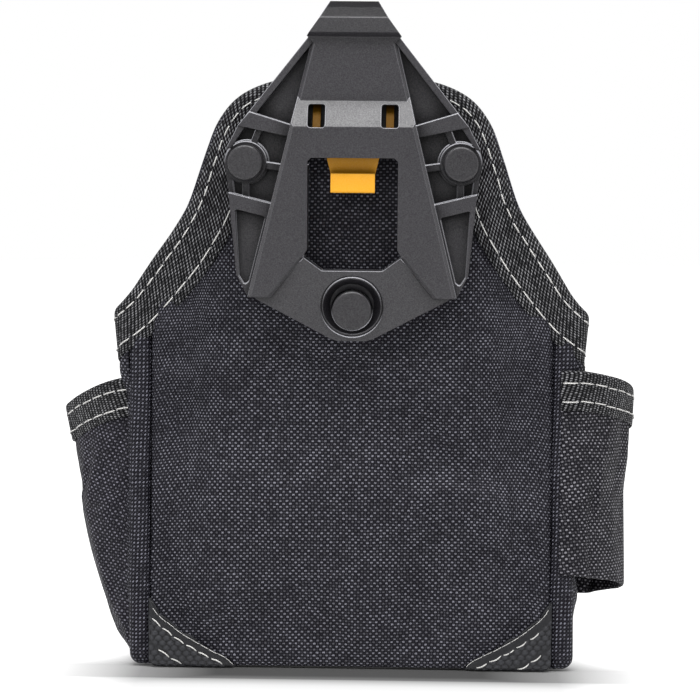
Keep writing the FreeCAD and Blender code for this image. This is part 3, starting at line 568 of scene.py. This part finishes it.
def stitches(name, rows, length=5.3, gap=0.9, radius=0.25, bow=0.0):
    """Rows of thread: every stitch rises out of the cloth, lies on it and dives back in."""
    points, faces, uvs = [], [], []
    rings, sides = 8, 6
    for line, normals in rows:
        steps = np.concatenate([[0], np.cumsum(np.linalg.norm(np.diff(line, axis=0), axis=1))])
        at = rng.uniform(0.2, 0.8)
        while at + length < steps[-1]:
            this = length * rng.uniform(0.93, 1.05)
            t = np.linspace(0, 1, rings)
            s = at + this * t
            mid = np.column_stack([np.interp(s, steps, line[:, k]) for k in range(3)])
            nor = unit(np.column_stack([np.interp(s, steps, normals[:, k]) for k in range(3)]))
            tangent = unit(np.gradient(mid, axis=0))
            side = unit(np.cross(tangent, nor))
            lift = radius * (1.7 * np.sin(math.pi * t) ** 0.5 - 1.0)
            drift = rng.normal(0, 0.08) + bow * np.sin(math.pi * t)
            mid = mid + nor * lift[:, None] + side * np.atleast_1d(drift)[:, None]
            thin = radius * (0.55 + 0.45 * np.sin(math.pi * np.clip(t, 0.04, 0.96)) ** 0.4)
            first = len(points)
            for i in range(rings):
                for k in range(sides):
                    turn = 2 * math.pi * k / sides
                    offset = nor[i] * math.cos(turn) * 0.85 + side[i] * math.sin(turn)
                    points.append(mid[i] + offset * thin[i])
                    uvs.append((s[i], k / sides))
            for i in range(rings - 1):
                for k in range(sides):
                    a, b = first + i * sides + k, first + i * sides + (k + 1) % sides
                    faces.append((a, b, b + sides, a + sides))
            faces.append(tuple(range(first + sides - 1, first - 1, -1)))
            faces.append(tuple(range(first + (rings - 1) * sides, first + rings * sides)))
            at += this + gap * rng.uniform(0.8, 1.25)
    mesh = bpy.data.meshes.new(name)
    mesh.from_pydata((np.array(points) * MM).tolist(), [], faces)
    layer = mesh.uv_layers.new(name="mm")
    order = np.empty(len(mesh.loops), int)
    mesh.loops.foreach_get("vertex_index", order)
    layer.data.foreach_set("uv", np.array(uvs)[order].reshape(-1))
    mesh.polygons.foreach_set("use_smooth", np.ones(len(mesh.polygons), bool))
    piece = bpy.data.objects.new(name, mesh)
    bpy.context.scene.collection.objects.link(piece)
    return finish_piece(piece, THREAD)


def tape_rows(path, inward, across, gaps, depths):
    """Stitch rows on both legs of a folded tape, at depths from its edge."""
    gaps = np.broadcast_to(np.asarray(gaps, float), len(path))[:, None]
    rows = []
    for side in (1, -1):
        for depth in depths:
            rows.append((path + inward * depth + across * side * (gaps + 0.5), across * side))
    return rows


# ---- mouth of the bag ---------------------------------------------------------------------------------
def mouth_half():
    """Fold of the mouth tape on the right: over the ear, round the wing, forward along the side."""
    ear = curve_through(EAR, 260)
    ear = ear[ear[:, 0] < SIDE_X - 5]
    back = np.column_stack([ear[:, 0], np.full(len(ear), -31.0), ear[:, 1]])
    fall = ear[-1, 1]
    corner = []
    for a in np.linspace(0, math.pi / 2, 10)[1:]:
        s = 5 * a
        x, y = SIDE_X - 5 + 5 * math.sin(a), SIDE_Y - 5 * math.cos(a)
        corner.append((x, y, fall - 1.78 * s + 0.1 * s * s))
    side = [(SIDE_X, y, corner[-1][2] - (y - SIDE_Y) * SIDE_SLOPE) for y in np.linspace(-25, 30.6, 40)]
    return spaced(np.vstack([back, corner, side]), 190)


right_mouth = mouth_half()
mouth = np.vstack([(right_mouth * (-1, 1, 1))[:0:-1], right_mouth])
mouth = rounded(mouth, 2)
# The left wing reaches a little further out than the right one.
mouth[:, 0] -= LEFT_WING * np.clip((-mouth[:, 0] - 62) / 14, 0, 1)
along, plan = edge_frame(mouth)
mouth_out = np.column_stack([plan[:, 1], -plan[:, 0], np.zeros(len(plan))])
mouth_in = unit(np.cross(rounded(along, 6), mouth_out))
# Over the wings and sides the tape hangs down, leaning in a little.
droop = np.clip((np.abs(mouth[:, 0]) - 61) / 16, 0, 1)[:, None]
straight_down = np.array((0, 0, -1.0)) - mouth_out * 0.09
mouth_in = unit(mouth_in * (1 - droop) + straight_down * droop) * (1 + 0.05 * droop)
mouth = mouth + mouth_in * 0.8 * np.clip((-28 - mouth[:, 1:2]) / 3, 0, 1)
# The back wall, with its stiffener, holds the two legs further apart than a side wall does.
mouth_gap = np.where(mouth[:, 1] < -30.5, 2.45, 1.45)
for _ in range(30):
    mouth_gap[1:-1] = (mouth_gap[:-2] + 2 * mouth_gap[1:-1] + mouth_gap[2:]) / 4
tape("mouth_tape", mouth, mouth_in, mouth_out, MOUTH_LEGS, mouth_gap, ["mouth_binding"], 0.1, 3)
stitches("mouth_stitches_edge", tape_rows(mouth, mouth_in, mouth_out, mouth_gap, (3.6,)), 4.0, 1.2)
stitches("mouth_stitches_inner", tape_rows(mouth, mouth_in, mouth_out, mouth_gap, (13.4,)), 6.0, 0.9)


def ear_top(x):
    ear = curve_through(EAR, 400)
    return np.interp(np.abs(x), ear[:, 0], ear[:, 1])


# ---- back wall ----------------------------------------------------------------------------------------
def wrapped_under(x, s, y_out, radius=3.0):
    """A point on the back wall at a height s; below the radius the cloth turns under the base."""
    turn = np.clip((radius - s) / radius, 0, 1.4)
    y = np.where(s < radius, y_out + radius - radius * np.cos(turn), y_out)
    z = np.where(s < radius, radius - radius * np.sin(turn), s)
    return np.stack([x, y, z], -1)


def corner_round(s, radius=3.2):
    """How far the outline comes in at a height, where the lower corners are rounded off."""
    t = np.clip((radius - s) / radius, 0, 1)
    return radius * (1 - np.sqrt(1 - t * t))


def back_grid(y_out, cols=61, rows=92):
    """Back wall as a grid of points; its upright edges turn in towards the corner seams."""
    x = np.linspace(-PANEL_HALF, PANEL_HALF, cols)
    t = np.linspace(0, 1, rows)[:, None]
    low, top = -1.2, ear_top(x)[None] - 1.3
    s = low + (top - low) * t
    outer = np.clip((np.abs(x) - 50) / 18, 0, 1)[None]
    grid = wrapped_under(x - np.sign(x) * outer * corner_round(s), s, y_out)
    near_edge = np.clip((np.abs(x) - (PANEL_HALF - 3.5)) / 3.5, 0, 1)
    grid[..., 1] += 1.6 * near_edge[None] ** 2
    return grid


def under_hub(grid, margin=3.0):
    """True where the hub presses on the cloth."""
    x, z = np.abs(grid[..., 0]), grid[..., 2]
    low = HUB_LOW[2] - 1.3 - margin
    return (x < 42 + margin) & (z > low + np.maximum(0, x - 8) * 0.5)


back = back_grid(Y_BACK)
back[..., 1] -= np.clip(ripple(back, 0.35, 60, 11), -0.3, 0.5) * ~under_hub(back)
held = sewn(back, 3, 1) | under_hub(back) | (back[..., 2] > ear_top(back[..., 0]) - 20)
back_cloth = billow(sheet("back_cloth", back, facing=(0, -1, 0)), held, 0.6, 1.8)
finish_piece(thicken(back_cloth, 1.2), BODY_CLOTH, ["back_panel"])

lining = back_grid(Y_LINING)
lining[..., 2] = np.maximum(lining[..., 2], 3.5)
lining[..., 1] = Y_LINING
back_lining = thicken(sheet("back_lining_cloth", lining, facing=(0, 1, 0)), 0.8)
finish_piece(back_lining, LINING, ["back_lining", "back_stiffener"])


# ---- sides and front, one lofted shell ----------------------------------------------------------------
def bag_plan(count=150):
    """Outline of the side and front walls in plan, from the left corner seam round to the right one."""
    points = [(-71.8, -31.0), (-73.4, -29.9), (-74.3, -27.5), (-74.3, 24.5)]
    for a in np.linspace(0, math.pi / 2, 9):
        points.append((-66.8 - 7.5 * math.cos(a), 24.5 + 7.5 * math.sin(a)))
    half = spaced(points + [(-50, 32.0), (0, 32.0)], count // 2)
    return np.vstack([half, (half * (-1, 1))[::-1][1:]])


def bag_top(x, y):
    """Height of the bag's edge over a point in plan."""
    side = 121.0 - (y - SIDE_Y) * SIDE_SLOPE
    front = 104.6 + 5.2 * (x / 79) ** 2
    mix = np.clip((y - 24) / 8, 0, 1)
    return side * (1 - mix) + front * mix - 0.6


def bag_grid(rows=56):
    """The side and front walls: tucked in at the base, full low down, flared under the mouth tape."""
    plan = bag_plan()
    x, y = plan[:, 0], plan[:, 1]
    top = bag_top(x, y)
    lean = unit(plan)
    layers = []
    for t in np.linspace(0, 1, rows):
        s = -4.0 + (top + 4.0) * t
        turn = np.clip((4 - s) / 4, 0, 1.5)
        tuck = 4 - 4 * np.cos(turn)
        z = np.where(s < 4, 4.2 - 4 * np.sin(turn), s)
        flare = np.clip((s - top + 31) / 13, 0, 1)
        flare = flare * flare * (3 - 2 * flare)
        waist = np.sin(np.clip(z / 104, 0, 1) * math.pi)
        wide = x * (1 + np.where(x < 0, 0.055, 0.041) * flare)
        front = np.clip(y / 32, 0, 1) ** 3 * np.cos(np.clip(x / 75, -1, 1) * math.pi / 2)
        cheek = np.sin(np.clip((y + 32) / 62, 0, 1) * math.pi) ** 0.6
        cheek = cheek * np.clip((np.abs(x) - 60) / 15, 0, 1)
        rise = np.clip(z / 26, 0, 1)
        full = rise * rise * (3 - 2 * rise) * (1 - 0.6 * flare)
        px = wide - lean[:, 0] * tuck + np.sign(x) * cheek * full * 3.9
        py = y - lean[:, 1] * tuck + front * waist * 2.8
        layers.append(np.column_stack([px, py, z]))
    return np.array(layers)


bag = bag_grid()
swell = ripple(bag, 0.45, 48, 21) * (np.sin(np.linspace(0, math.pi, len(bag))) ** 0.6)[:, None]
bag = bag + unit(bag * (1, 1, 0)) * swell[..., None]
bag_cloth = billow(sheet("bag_cloth", bag, inside=(0, 0, 50)), sewn(bag, 4, 8, 2, 2), 0.5, 1.6)
walls = ["side_wall_left", "side_wall_right", "front_panel"]
finish_piece(thicken(bag_cloth, 1.8), BODY_CLOTH, walls)


def front_edge():
    """Fold of the front tape: from one side wall round the corner and across the front."""
    plan = bag_plan(300)
    plan = plan[plan[:, 1] > 17]
    height = bag_top(plan[:, 0], plan[:, 1]) + TAPE_LIFT
    path = np.column_stack([plan[:, 0] * 1.047, plan[:, 1] + 0.2, height])
    return rounded(spaced(path[::-1], 150), 4)


front = front_edge()
along, plan = edge_frame(front)
front_out = np.column_stack([plan[:, 1], -plan[:, 0], np.zeros(len(plan))])
front_in = unit(np.cross(along, front_out))
# Where it starts, on the side walls, the front tape lies over the mouth tape.
overlap = np.clip((31 - front[:, 1]) / 5, 0, 1)
front_gap = 2.1 + 0.6 * overlap
front[:, 2] += 0.6 * overlap
tape("front_edge_tape", front, front_in, front_out, FRONT_LEGS, front_gap,
     ["front_panel_binding"], 0.12, 5)
stitches("front_edge_stitches", tape_rows(front, front_in, front_out, front_gap, (4.1, 13.5)), 4.9, 1.0)


# ---- corner welts -------------------------------------------------------------------------------------
def welt(side):
    """Rolled seam: a soft upright roll, slightly flattened, closed at its lower end."""
    levels = np.concatenate([[0.4, 0.7, 1.3, 2.2, 3.2, 4.4], np.linspace(6, 113, 60)])
    wide = WELT_R if side < 0 else WELT_R + 0.4
    layers = []
    for z in levels:
        close = math.sqrt(max(0.0, 1 - (max(0.0, 4.4 - z) / 4.05) ** 2))
        sway = 0.25 * math.sin(z / 17 + side) + 0.15 * math.sin(z / 7.3 + 2 * side)
        ring = []
        for k in range(28):
            a = 2 * math.pi * k / 28
            flat = abs(math.cos(a)) ** 0.85 * math.copysign(1, math.cos(a))
            x = side * (WELT_X + sway * 0.6) + wide * close * flat
            ring.append((x, WELT_Y + WELT_R * close * math.sin(a), z))
        layers.append(ring + ring[:1])
    return np.array(layers)


for side, name in ((-1, "left"), (1, "right")):
    roll = welt(side)
    piece = sheet(f"welt_{name}", roll, inside=(side * WELT_X, WELT_Y, 55))
    thicken(piece, 1.2)
    finish_piece(piece, WELT_CLOTH, [f"corner_welt_{name}"])


# ---- base ---------------------------------------------------------------------------------------------
def base_grid(half_x, y0, y1, z, arch, cols=60, rows=30, corner=6.0):
    """A floor of the bag with clipped corners, arched a little in the middle."""
    x = np.linspace(-1, 1, cols)[None]
    y = np.linspace(-1, 1, rows)[:, None]
    squeeze = 1 - (corner / half_x) * np.clip((np.abs(y) - 0.8) / 0.2, 0, 1) ** 2 * 0.5
    gx = x * half_x * squeeze
    gy = (y0 + y1) / 2 + y * (y1 - y0) / 2 + 0 * x
    gz = z + arch * np.cos(x * math.pi / 2) * np.cos(y * math.pi / 2)
    return np.stack([gx + 0 * gy, gy, gz + 0 * gx], -1)


base = thicken(sheet("base_cloth", base_grid(72.5, -30.8, 30.5, 0.5, 1.0), facing=(0, 0, -1)), 1.2)
finish_piece(base, BODY_CLOTH, ["base_panel"])
board = thicken(sheet("floor_board", base_grid(70.5, -27.6, 29.2, 4.4, 0.5), facing=(0, 0, 1)), 1.6)
finish_piece(board, LINING, ["base_board"])


# ---- corner patches -----------------------------------------------------------------------------------
EDGE_X = [38.0, 41.0, 49.0, 57.1, 64.3, 67.6, 68.0]  # the long edge, from the base up to the corner
EDGE_Z = [-1.5, 3.2, 7.5, 12.3, 18.0, 22.6, 24.0]
BUMP_X, BUMP_Z = 2.7, 3.4                        # spacing of the embossed bumps
BEND = 3.4                                       # radius at which the patch turns under the base


def patch_edge(count):
    return curve_through(list(zip(EDGE_X, EDGE_Z)), count)


def at_corner(x):
    """How far the patch bends in towards the corner seam."""
    return 1.3 * np.clip((x - 65.5) / 2.8, 0, 1) ** 2


def edge_distance(x, z):
    """How far inside the long edge a point of the patch lies."""
    away = np.stack([x, z], -1)[..., None, :] - patch_edge(160)
    return np.min(np.linalg.norm(away, axis=-1), axis=-1)


def patch(side, rows=72, cols=88):
    """Points of a patch, and how much each stands out of the emboss, which its material paints paler as
    a highlight.
    """
    s = np.linspace(-3.4, 23.4, rows)[:, None]
    x0 = np.interp(s, EDGE_Z, EDGE_X)
    x = x0 + (68.3 - corner_round(s) - x0) * np.linspace(0, 1, cols)[None]
    s = s + 0 * x
    inside = edge_distance(x, s)
    dome = np.zeros(x.shape)
    for shift in (0.0, 0.5):
        dx = ((x / BUMP_X + shift) % 1 - 0.5) * BUMP_X / 1.28
        dz = ((s / BUMP_Z + shift) % 1 - 0.5) * BUMP_Z
        dome = np.maximum(dome, np.clip(1 - dx * dx - dz * dz, 0, 1) ** 0.55)
    calm = np.clip((inside - 2.6) / 0.8, 0, 1)
    calm *= 1 - np.exp(-(((inside - 9.2) / 0.75) ** 2))
    rim = np.clip(inside / 0.8, 0, 1) ** 0.5
    y_out = Y_BACK - 0.35 - 0.75 * rim - 0.5 * dome * calm
    grid = wrapped_under(x, s, y_out + at_corner(x), BEND)
    return grid * (side, 1, 1), dome * calm + 0.25 * (1 - calm)


def patch_row(side, distance):
    """A line parallel to the patch's long edge."""
    edge = patch_edge(120)
    run = unit(np.gradient(edge, axis=0))
    line = edge + np.column_stack([run[:, 1], -run[:, 0]]) * distance
    line = line[(line[:, 0] < 67.9) & (line[:, 1] > 0.6)]
    y = Y_BACK - 1.15 + at_corner(line[:, 0])
    points = wrapped_under(line[:, 0], line[:, 1], y, BEND) * (side, 1, 1)
    return spaced(points, 90), np.tile((0.0, -1.0, 0.0), (90, 1))


for side, name in ((-1, "left"), (1, "right")):
    grid, raised = patch(side)
    piece = sheet(f"corner_patch_{name}", grid, facing=(0, -1, 0))
    values = piece.data.attributes.new("raised", "FLOAT", "POINT")
    values.data.foreach_set("value", raised.reshape(-1))
    finish_piece(thicken(piece, 0.8, 0), PATCH, ["corner_patches"])
stitches("patch_stitches", [patch_row(s, d) for s in (-1, 1) for d in (2.9, 9.5)], 4.7, 0.35, 0.24, 0.45)
# Painted highlight: a thin light line of thread along each patch's folded edge stands in for the light
# caught by the fold.
stitches("patch_edge_highlight", [patch_row(s, 0.2) for s in (-1, 1)], 3.2, 0.25, 0.11)


# ---- pockets ------------------------------------------------------------------------------------------
def pocket_rows(plan_at, low, top, rows=40, root=None):
    """Pocket wall lofted upwards; plan_at(z) gives its outline. With a root the bottom closes."""
    layers = []
    if root is not None:
        first = plan_at(low + 0 * top)
        for k in (0.02, 0.3, 0.6, 0.85):
            flat = root + (first - root) * k
            layers.append(np.column_stack([flat, np.full(len(flat), low)]))
    for t in np.linspace(0, 1, rows):
        z = low + (top - low) * t
        tuck = np.clip((3.5 - (z - low)) / 3.5, 0, 1) if root is not None else 0 * z
        outline = plan_at(z)
        if root is not None:
            outline = root + (outline - root) * (1 - 0.12 * tuck[:, None] ** 2)
        layers.append(np.column_stack([outline, z]))
    return np.array(layers)


def pocket_edge(grid, inner_point):
    """Frame along a pocket's upper edge, for its tape."""
    path = rounded(spaced(grid[-1] + (0, 0, TAPE_LIFT), 150), 3)
    down = spaced(grid[-4], 150) - spaced(grid[-1], 150)
    along = unit(np.gradient(path, axis=0))
    inward = unit(down - along * np.sum(down * along, axis=1, keepdims=True))
    inward = rounded(inward, 8)
    across = unit(np.cross(along, inward))
    if np.sum(across * (path - np.array(inner_point))) < 0:
        across = -across
    return path, inward, across


def pocket_tape(name, grid, inner_point, legs, gap, seed, node, wave=0.1, curl=0.0, stitch=(5.5, 0.8)):
    """Webbing over a pocket's upper edge, with its two rows of stitches."""
    path, inward, across = pocket_edge(grid, inner_point)
    tape(f"{name}_tape", path, inward, across, legs, gap, [node], wave, seed, curl)
    stitches(f"{name}_stitches", tape_rows(path, inward, across, gap, POCKET_SEAMS), *stitch)


def oval(count=49):
    """Half an oval against a side wall: how far it stands out (0 to 1), and y."""
    a = np.linspace(0, math.pi, count)
    return np.sin(a), POCKET_Y - POCKET_HALF * np.cos(a)


def left_plan(z):
    """Half an oval low down; towards the mouth the side that faces the wearer pulls almost straight."""
    wave, y = oval()
    swell = 24.4 * (np.clip(z - 3.4, 0.02, None) / 84.0) ** 0.5
    straight = (1 - np.abs(y - POCKET_Y) / POCKET_HALF) ** 0.8
    pull = 0.7 * np.clip((z - 55) / 30, 0, 1) * (y < POCKET_Y)
    wave = np.where(y < POCKET_Y, wave**0.9 * (1 - pull) + straight * pull, wave**1.3)
    return np.column_stack([-74.9 - swell * wave, y])


_, oval_y = oval()
left_top = 85.4 - np.where(oval_y < POCKET_Y, 0.5, 0.2) * (oval_y - POCKET_Y)
left_root = np.column_stack([np.full(len(oval_y), -74.6), oval_y])
left = pocket_rows(left_plan, 3.8, left_top, root=left_root)
left[4:, :, 0] -= np.clip(ripple(left[4:], 0.5, 38, 31), -0.6, 0.8)
left_cloth = sheet("left_pocket_cloth", left, inside=(-70, POCKET_Y, 50))
left_cloth = billow(left_cloth, sewn(left, 6, 7), 1.4, 1.4)
finish_piece(thicken(left_cloth, 1.5), POCKET_CLOTH, ["left_pocket"])
pocket_tape("left_pocket", left, (-70, POCKET_Y, 82), POCKET_LEGS, 1.15, 7, "left_pocket_binding",
            curl=0.45)


def sleeve_plan():
    """Outline of the sleeve in plan: flat on the back over the corner seam, then round the side."""
    points = [(70.2, -33.2), (74.6, -33.2), (79.0, -30.6), (84.6, -25.6)]
    for degrees in (50, 70, 90, 110, 130, 150, 165, 180):
        a = math.radians(degrees)
        points.append((76.2 + 19.4 * math.sin(a), POCKET_Y - POCKET_HALF * math.cos(a)))
    return curve_through(points, 64)


sleeve_line = sleeve_plan()
sleeve_low = 24.5 - 0.28 * (sleeve_line[:, 1] - POCKET_Y)
sleeve_top = 93.2 - 0.28 * (np.maximum(sleeve_line[:, 1], -32) - POCKET_Y)
sleeve = pocket_rows(lambda z: sleeve_line, sleeve_low, sleeve_top)
# The empty sleeve has one upright dent where it turns from the back to the side.
away = unit(sleeve_line - np.array([72.0, POCKET_Y]))
dent = 1.3 * np.exp(-(((np.arange(len(sleeve_line)) - 27) / 5.0) ** 2))[None]
dent = dent * np.sin(np.linspace(0.2, 3.0, len(sleeve)))[:, None]
swell = np.clip(ripple(sleeve, 0.6, 34, 41), -0.8, 0.8) - dent
swell[:, :14] = 0
sleeve[..., 0] += away[None, :, 0] * swell
sleeve[..., 1] += away[None, :, 1] * swell
sleeve_cloth = sheet("sleeve_cloth", sleeve, inside=(70, POCKET_Y, 50))
sleeve_cloth = billow(sleeve_cloth, sewn(sleeve, 0, 7, 10, 1), 0.6, 1.5)
finish_piece(thicken(sleeve_cloth, 1.5), SLEEVE_CLOTH, ["right_sleeve"])
pocket_tape("sleeve", sleeve, (70, POCKET_Y, 88), SLEEVE_LEGS, 1.15, 9, "right_sleeve_binding", curl=0.4)


def bellows_plan(z):
    """Outline of the front pocket in plan at heights z, one for each of its points."""
    half_x, front_y, top = BELLOWS_HIGH
    corner = 13.5
    points = [(-half_x, 33.0), (-half_x, 36.0)]
    for a in np.linspace(0, math.pi / 2, 9)[1:]:
        points.append((corner - half_x - corner * math.cos(a), front_y - corner + corner * math.sin(a)))
    half = spaced(points + [(0, front_y)], 46)
    outline = np.vstack([half, (half * (-1, 1))[::-1][1:]])
    swell = 1.6 * np.sin(np.clip(z / top, 0, 1) * math.pi) * np.clip((outline[:, 1] - 34) / 15, 0, 1)
    outline[:, 1] += swell * np.cos(np.clip(outline[:, 0] / half_x, -1, 1) * math.pi / 2)
    return outline


bellows_root = bellows_plan(0.0)
bellows_root[:, 1] = 32.6
bellows_top = np.full(len(bellows_root), BELLOWS_HIGH[2] - 0.4)
bellows = pocket_rows(bellows_plan, 3.4, bellows_top, root=bellows_root)
free = np.clip((bellows[4:, :, 1] - 36) / 12, 0, 1)
bellows[4:, :, 1] += np.clip(ripple(bellows[4:], 0.4, 42, 51), -0.5, 0.5) * free
bellows_cloth = sheet("front_pocket_cloth", bellows, inside=(0, 36, 40))
bellows_cloth = billow(bellows_cloth, sewn(bellows, 6, 7), 0.4, 1.2)
finish_piece(thicken(bellows_cloth, 1.5), POCKET_CLOTH, ["front_pocket"])
pocket_tape("front_pocket", bellows, (0, 34, 84), POCKET_LEGS, 1.3, 13, "front_pocket_binding", curl=0.4)

SLOTS = 4
SLOT_WIDE = 24.0
SLOT_OUT = 8.2                                   # how far each slot bulges out


def slots_plan():
    """Outline of the row of tool slots in plan: one bulge a slot."""
    points = []
    for i in range(SLOTS):
        middle = (i - (SLOTS - 1) / 2) * SLOT_WIDE
        for a in np.linspace(-1, 1, 13)[(i > 0):]:
            points.append((middle + SLOT_WIDE / 2 * a, 49.6 + SLOT_OUT * (1 - a * a)))
    return np.array(points)


slots_line = slots_plan()
slots_root = slots_line * (1, 0) + (0, 49.3)
slots_top = np.full(len(slots_line), SLOTS_HIGH[2] - 0.4)
slots = pocket_rows(lambda z: slots_line, SLOTS_LOW[2] + 0.2, slots_top, 30, root=slots_root)
slots_cloth = sheet("tool_slots_cloth", slots, inside=(0, 45, 40))
finish_piece(thicken(slots_cloth, 1.3), POCKET_CLOTH, ["tool_slot_pocket"])
pocket_tape("tool_slots", slots, (0, 40, 58), POCKET_LEGS, 1.2, 17, "tool_slot_binding",
            wave=0.0, stitch=(5.0, 0.9))
seams = []
for x in (-47.2, -SLOT_WIDE, 0.0, SLOT_WIDE, 47.2):
    line = np.column_stack([np.full(60, x), np.full(60, 50.3), np.linspace(11, 45, 60)])
    seams.append((line, np.tile((0.0, 1.0, 0.0), (60, 1))))
stitches("tool_slots_seams", seams, 3.6, 0.9, 0.28)


# ---- carried-over hard parts --------------------------------------------------------------------------
FINISHES = {"hub_frame": HUB, "hub_back_plate": HUB, "release_latch": LATCH, "latch_pin": STEEL,
            "latch_spring": STEEL, "side_rivets": RIVET, "lower_rivet": RIVET, "rivet_washers": STEEL}
for node, material in FINISHES.items():
    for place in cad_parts[node].material_slots:
        place.material = material


# ---- studio -------------------------------------------------------------------------------------------
def pale_floor():
    """Round pale floor that whitens with distance, so it has no visible edge, with a painted shadow in
    front of the base.
    """
    turns = np.arange(48) * math.pi / 24
    points = [(0.0, 0.0, 0.0)] + [(2.5 * math.cos(a), 2.5 * math.sin(a), 0.0) for a in turns]
    faces = [(0, k, k % 48 + 1) for k in range(1, 49)]
    mesh = bpy.data.meshes.new("floor")
    mesh.from_pydata(points, [], faces)
    floor = bpy.data.objects.new("floor", mesh)
    bpy.context.scene.collection.objects.link(floor)
    pale = Finish("pale_floor", roughness=0.8, specular=0.1)
    x, y, _ = pale.split(pale.place())
    seen = Field(pale.tree, pale.node("ShaderNodeLightPath").outputs["Is Camera Ray"])
    # Painted shadow: the camera sees the floor darker just in front of the base, and white everywhere
    # else.
    outside = ((x.math("ABSOLUTE") - 0.045) / 0.035).clamp()
    past_painted_shadow = ((y * -1.0 - 0.044) / 0.016).clamp().math("MAXIMUM", outside)
    mottled = seen + pale.noise(pale.place(), 3) * 0.05
    painted_grey = pale.colour((0.80, 0.80, 0.80), (0.30, 0.30, 0.30), mottled)
    pale.dim(painted_grey, (past_painted_shadow * 0.8 - 0.8) * seen + 1.0)
    # The glow that whitens the floor fades towards the base, in front of it and beside it, as part of
    # the painted shadow.
    front = ((y * -1.0 - 0.050) / 0.12).clamp().power(0.32)
    beside = ((x.math("ABSOLUTE") - 0.07) / 0.05).clamp()
    behind = ((y + 0.030) * 40.0).clamp()
    pale.glow((1, 1, 1), (front + beside + behind).clamp() * seen)
    mesh.materials.append(pale.material)


def softbox(name, at, aim, size, power):
    """A rectangular studio light, its size in metres and power in watts."""
    light = bpy.data.lights.new(name, "AREA")
    light.shape = "RECTANGLE"
    light.size, light.size_y = size
    light.energy = power
    lamp = bpy.data.objects.new(name, light)
    lamp.location = at
    lamp.rotation_euler = (Vector(aim) - Vector(at)).to_track_quat("-Z", "Y").to_euler()
    bpy.context.scene.collection.objects.link(lamp)


def camera():
    """Portrait lens almost square on to the back of the pouch, a little above it and to its right."""
    data = bpy.data.cameras.new("camera")
    data.lens = 137.9
    data.sensor_width = 36
    azimuth, elevation, roll, distance = math.radians(-1.4), math.radians(5.0), math.radians(0.5), 0.9
    aim = Vector((-0.0007, -0.033, 0.1088))
    level = math.cos(elevation)
    back = Vector((-math.sin(azimuth) * level, -math.cos(azimuth) * level, math.sin(elevation)))
    eye = bpy.data.objects.new("camera", data)
    eye.location = aim + back * distance
    eye.rotation_mode = "QUATERNION"
    eye.rotation_quaternion = (-back).to_track_quat("-Z", "Y") @ Quaternion((0, 0, 1), roll)
    bpy.context.scene.collection.objects.link(eye)
    bpy.context.scene.camera = eye


def surroundings():
    """Plain white to the eye, but a dim room to the surfaces, so that highlights stay crisp."""
    world = bpy.data.worlds.new("world")
    world.use_nodes = True
    tree = world.node_tree
    background = tree.nodes["Background"]
    background.inputs[0].default_value = (1, 1, 1, 1)
    ray = tree.nodes.new("ShaderNodeLightPath")
    strength = Field(tree, ray.outputs["Is Camera Ray"]) * 0.75 + 0.25
    tree.links.new(strength.socket, background.inputs[1])
    bpy.context.scene.world = world


pale_floor()
camera()
surroundings()
bag_middle = (0, 0, 0.1)
softbox("overhead", (0.0, -0.38, 1.0), (0, -0.1, 0.1), (1.0, 0.5), 15)
softbox("front", (-0.35, -1.5, 0.8), bag_middle, (1.0, 0.8), 7)
softbox("right", (1.1, -0.35, 0.5), bag_middle, (0.6, 0.9), 4)
softbox("left", (-1.1, -0.2, 0.5), bag_middle, (0.6, 0.9), 3.5)
softbox("rear", (0.3, 1.4, 0.9), bag_middle, (1.2, 0.8), 9)
bpy.context.scene.view_settings.view_transform = "Standard"
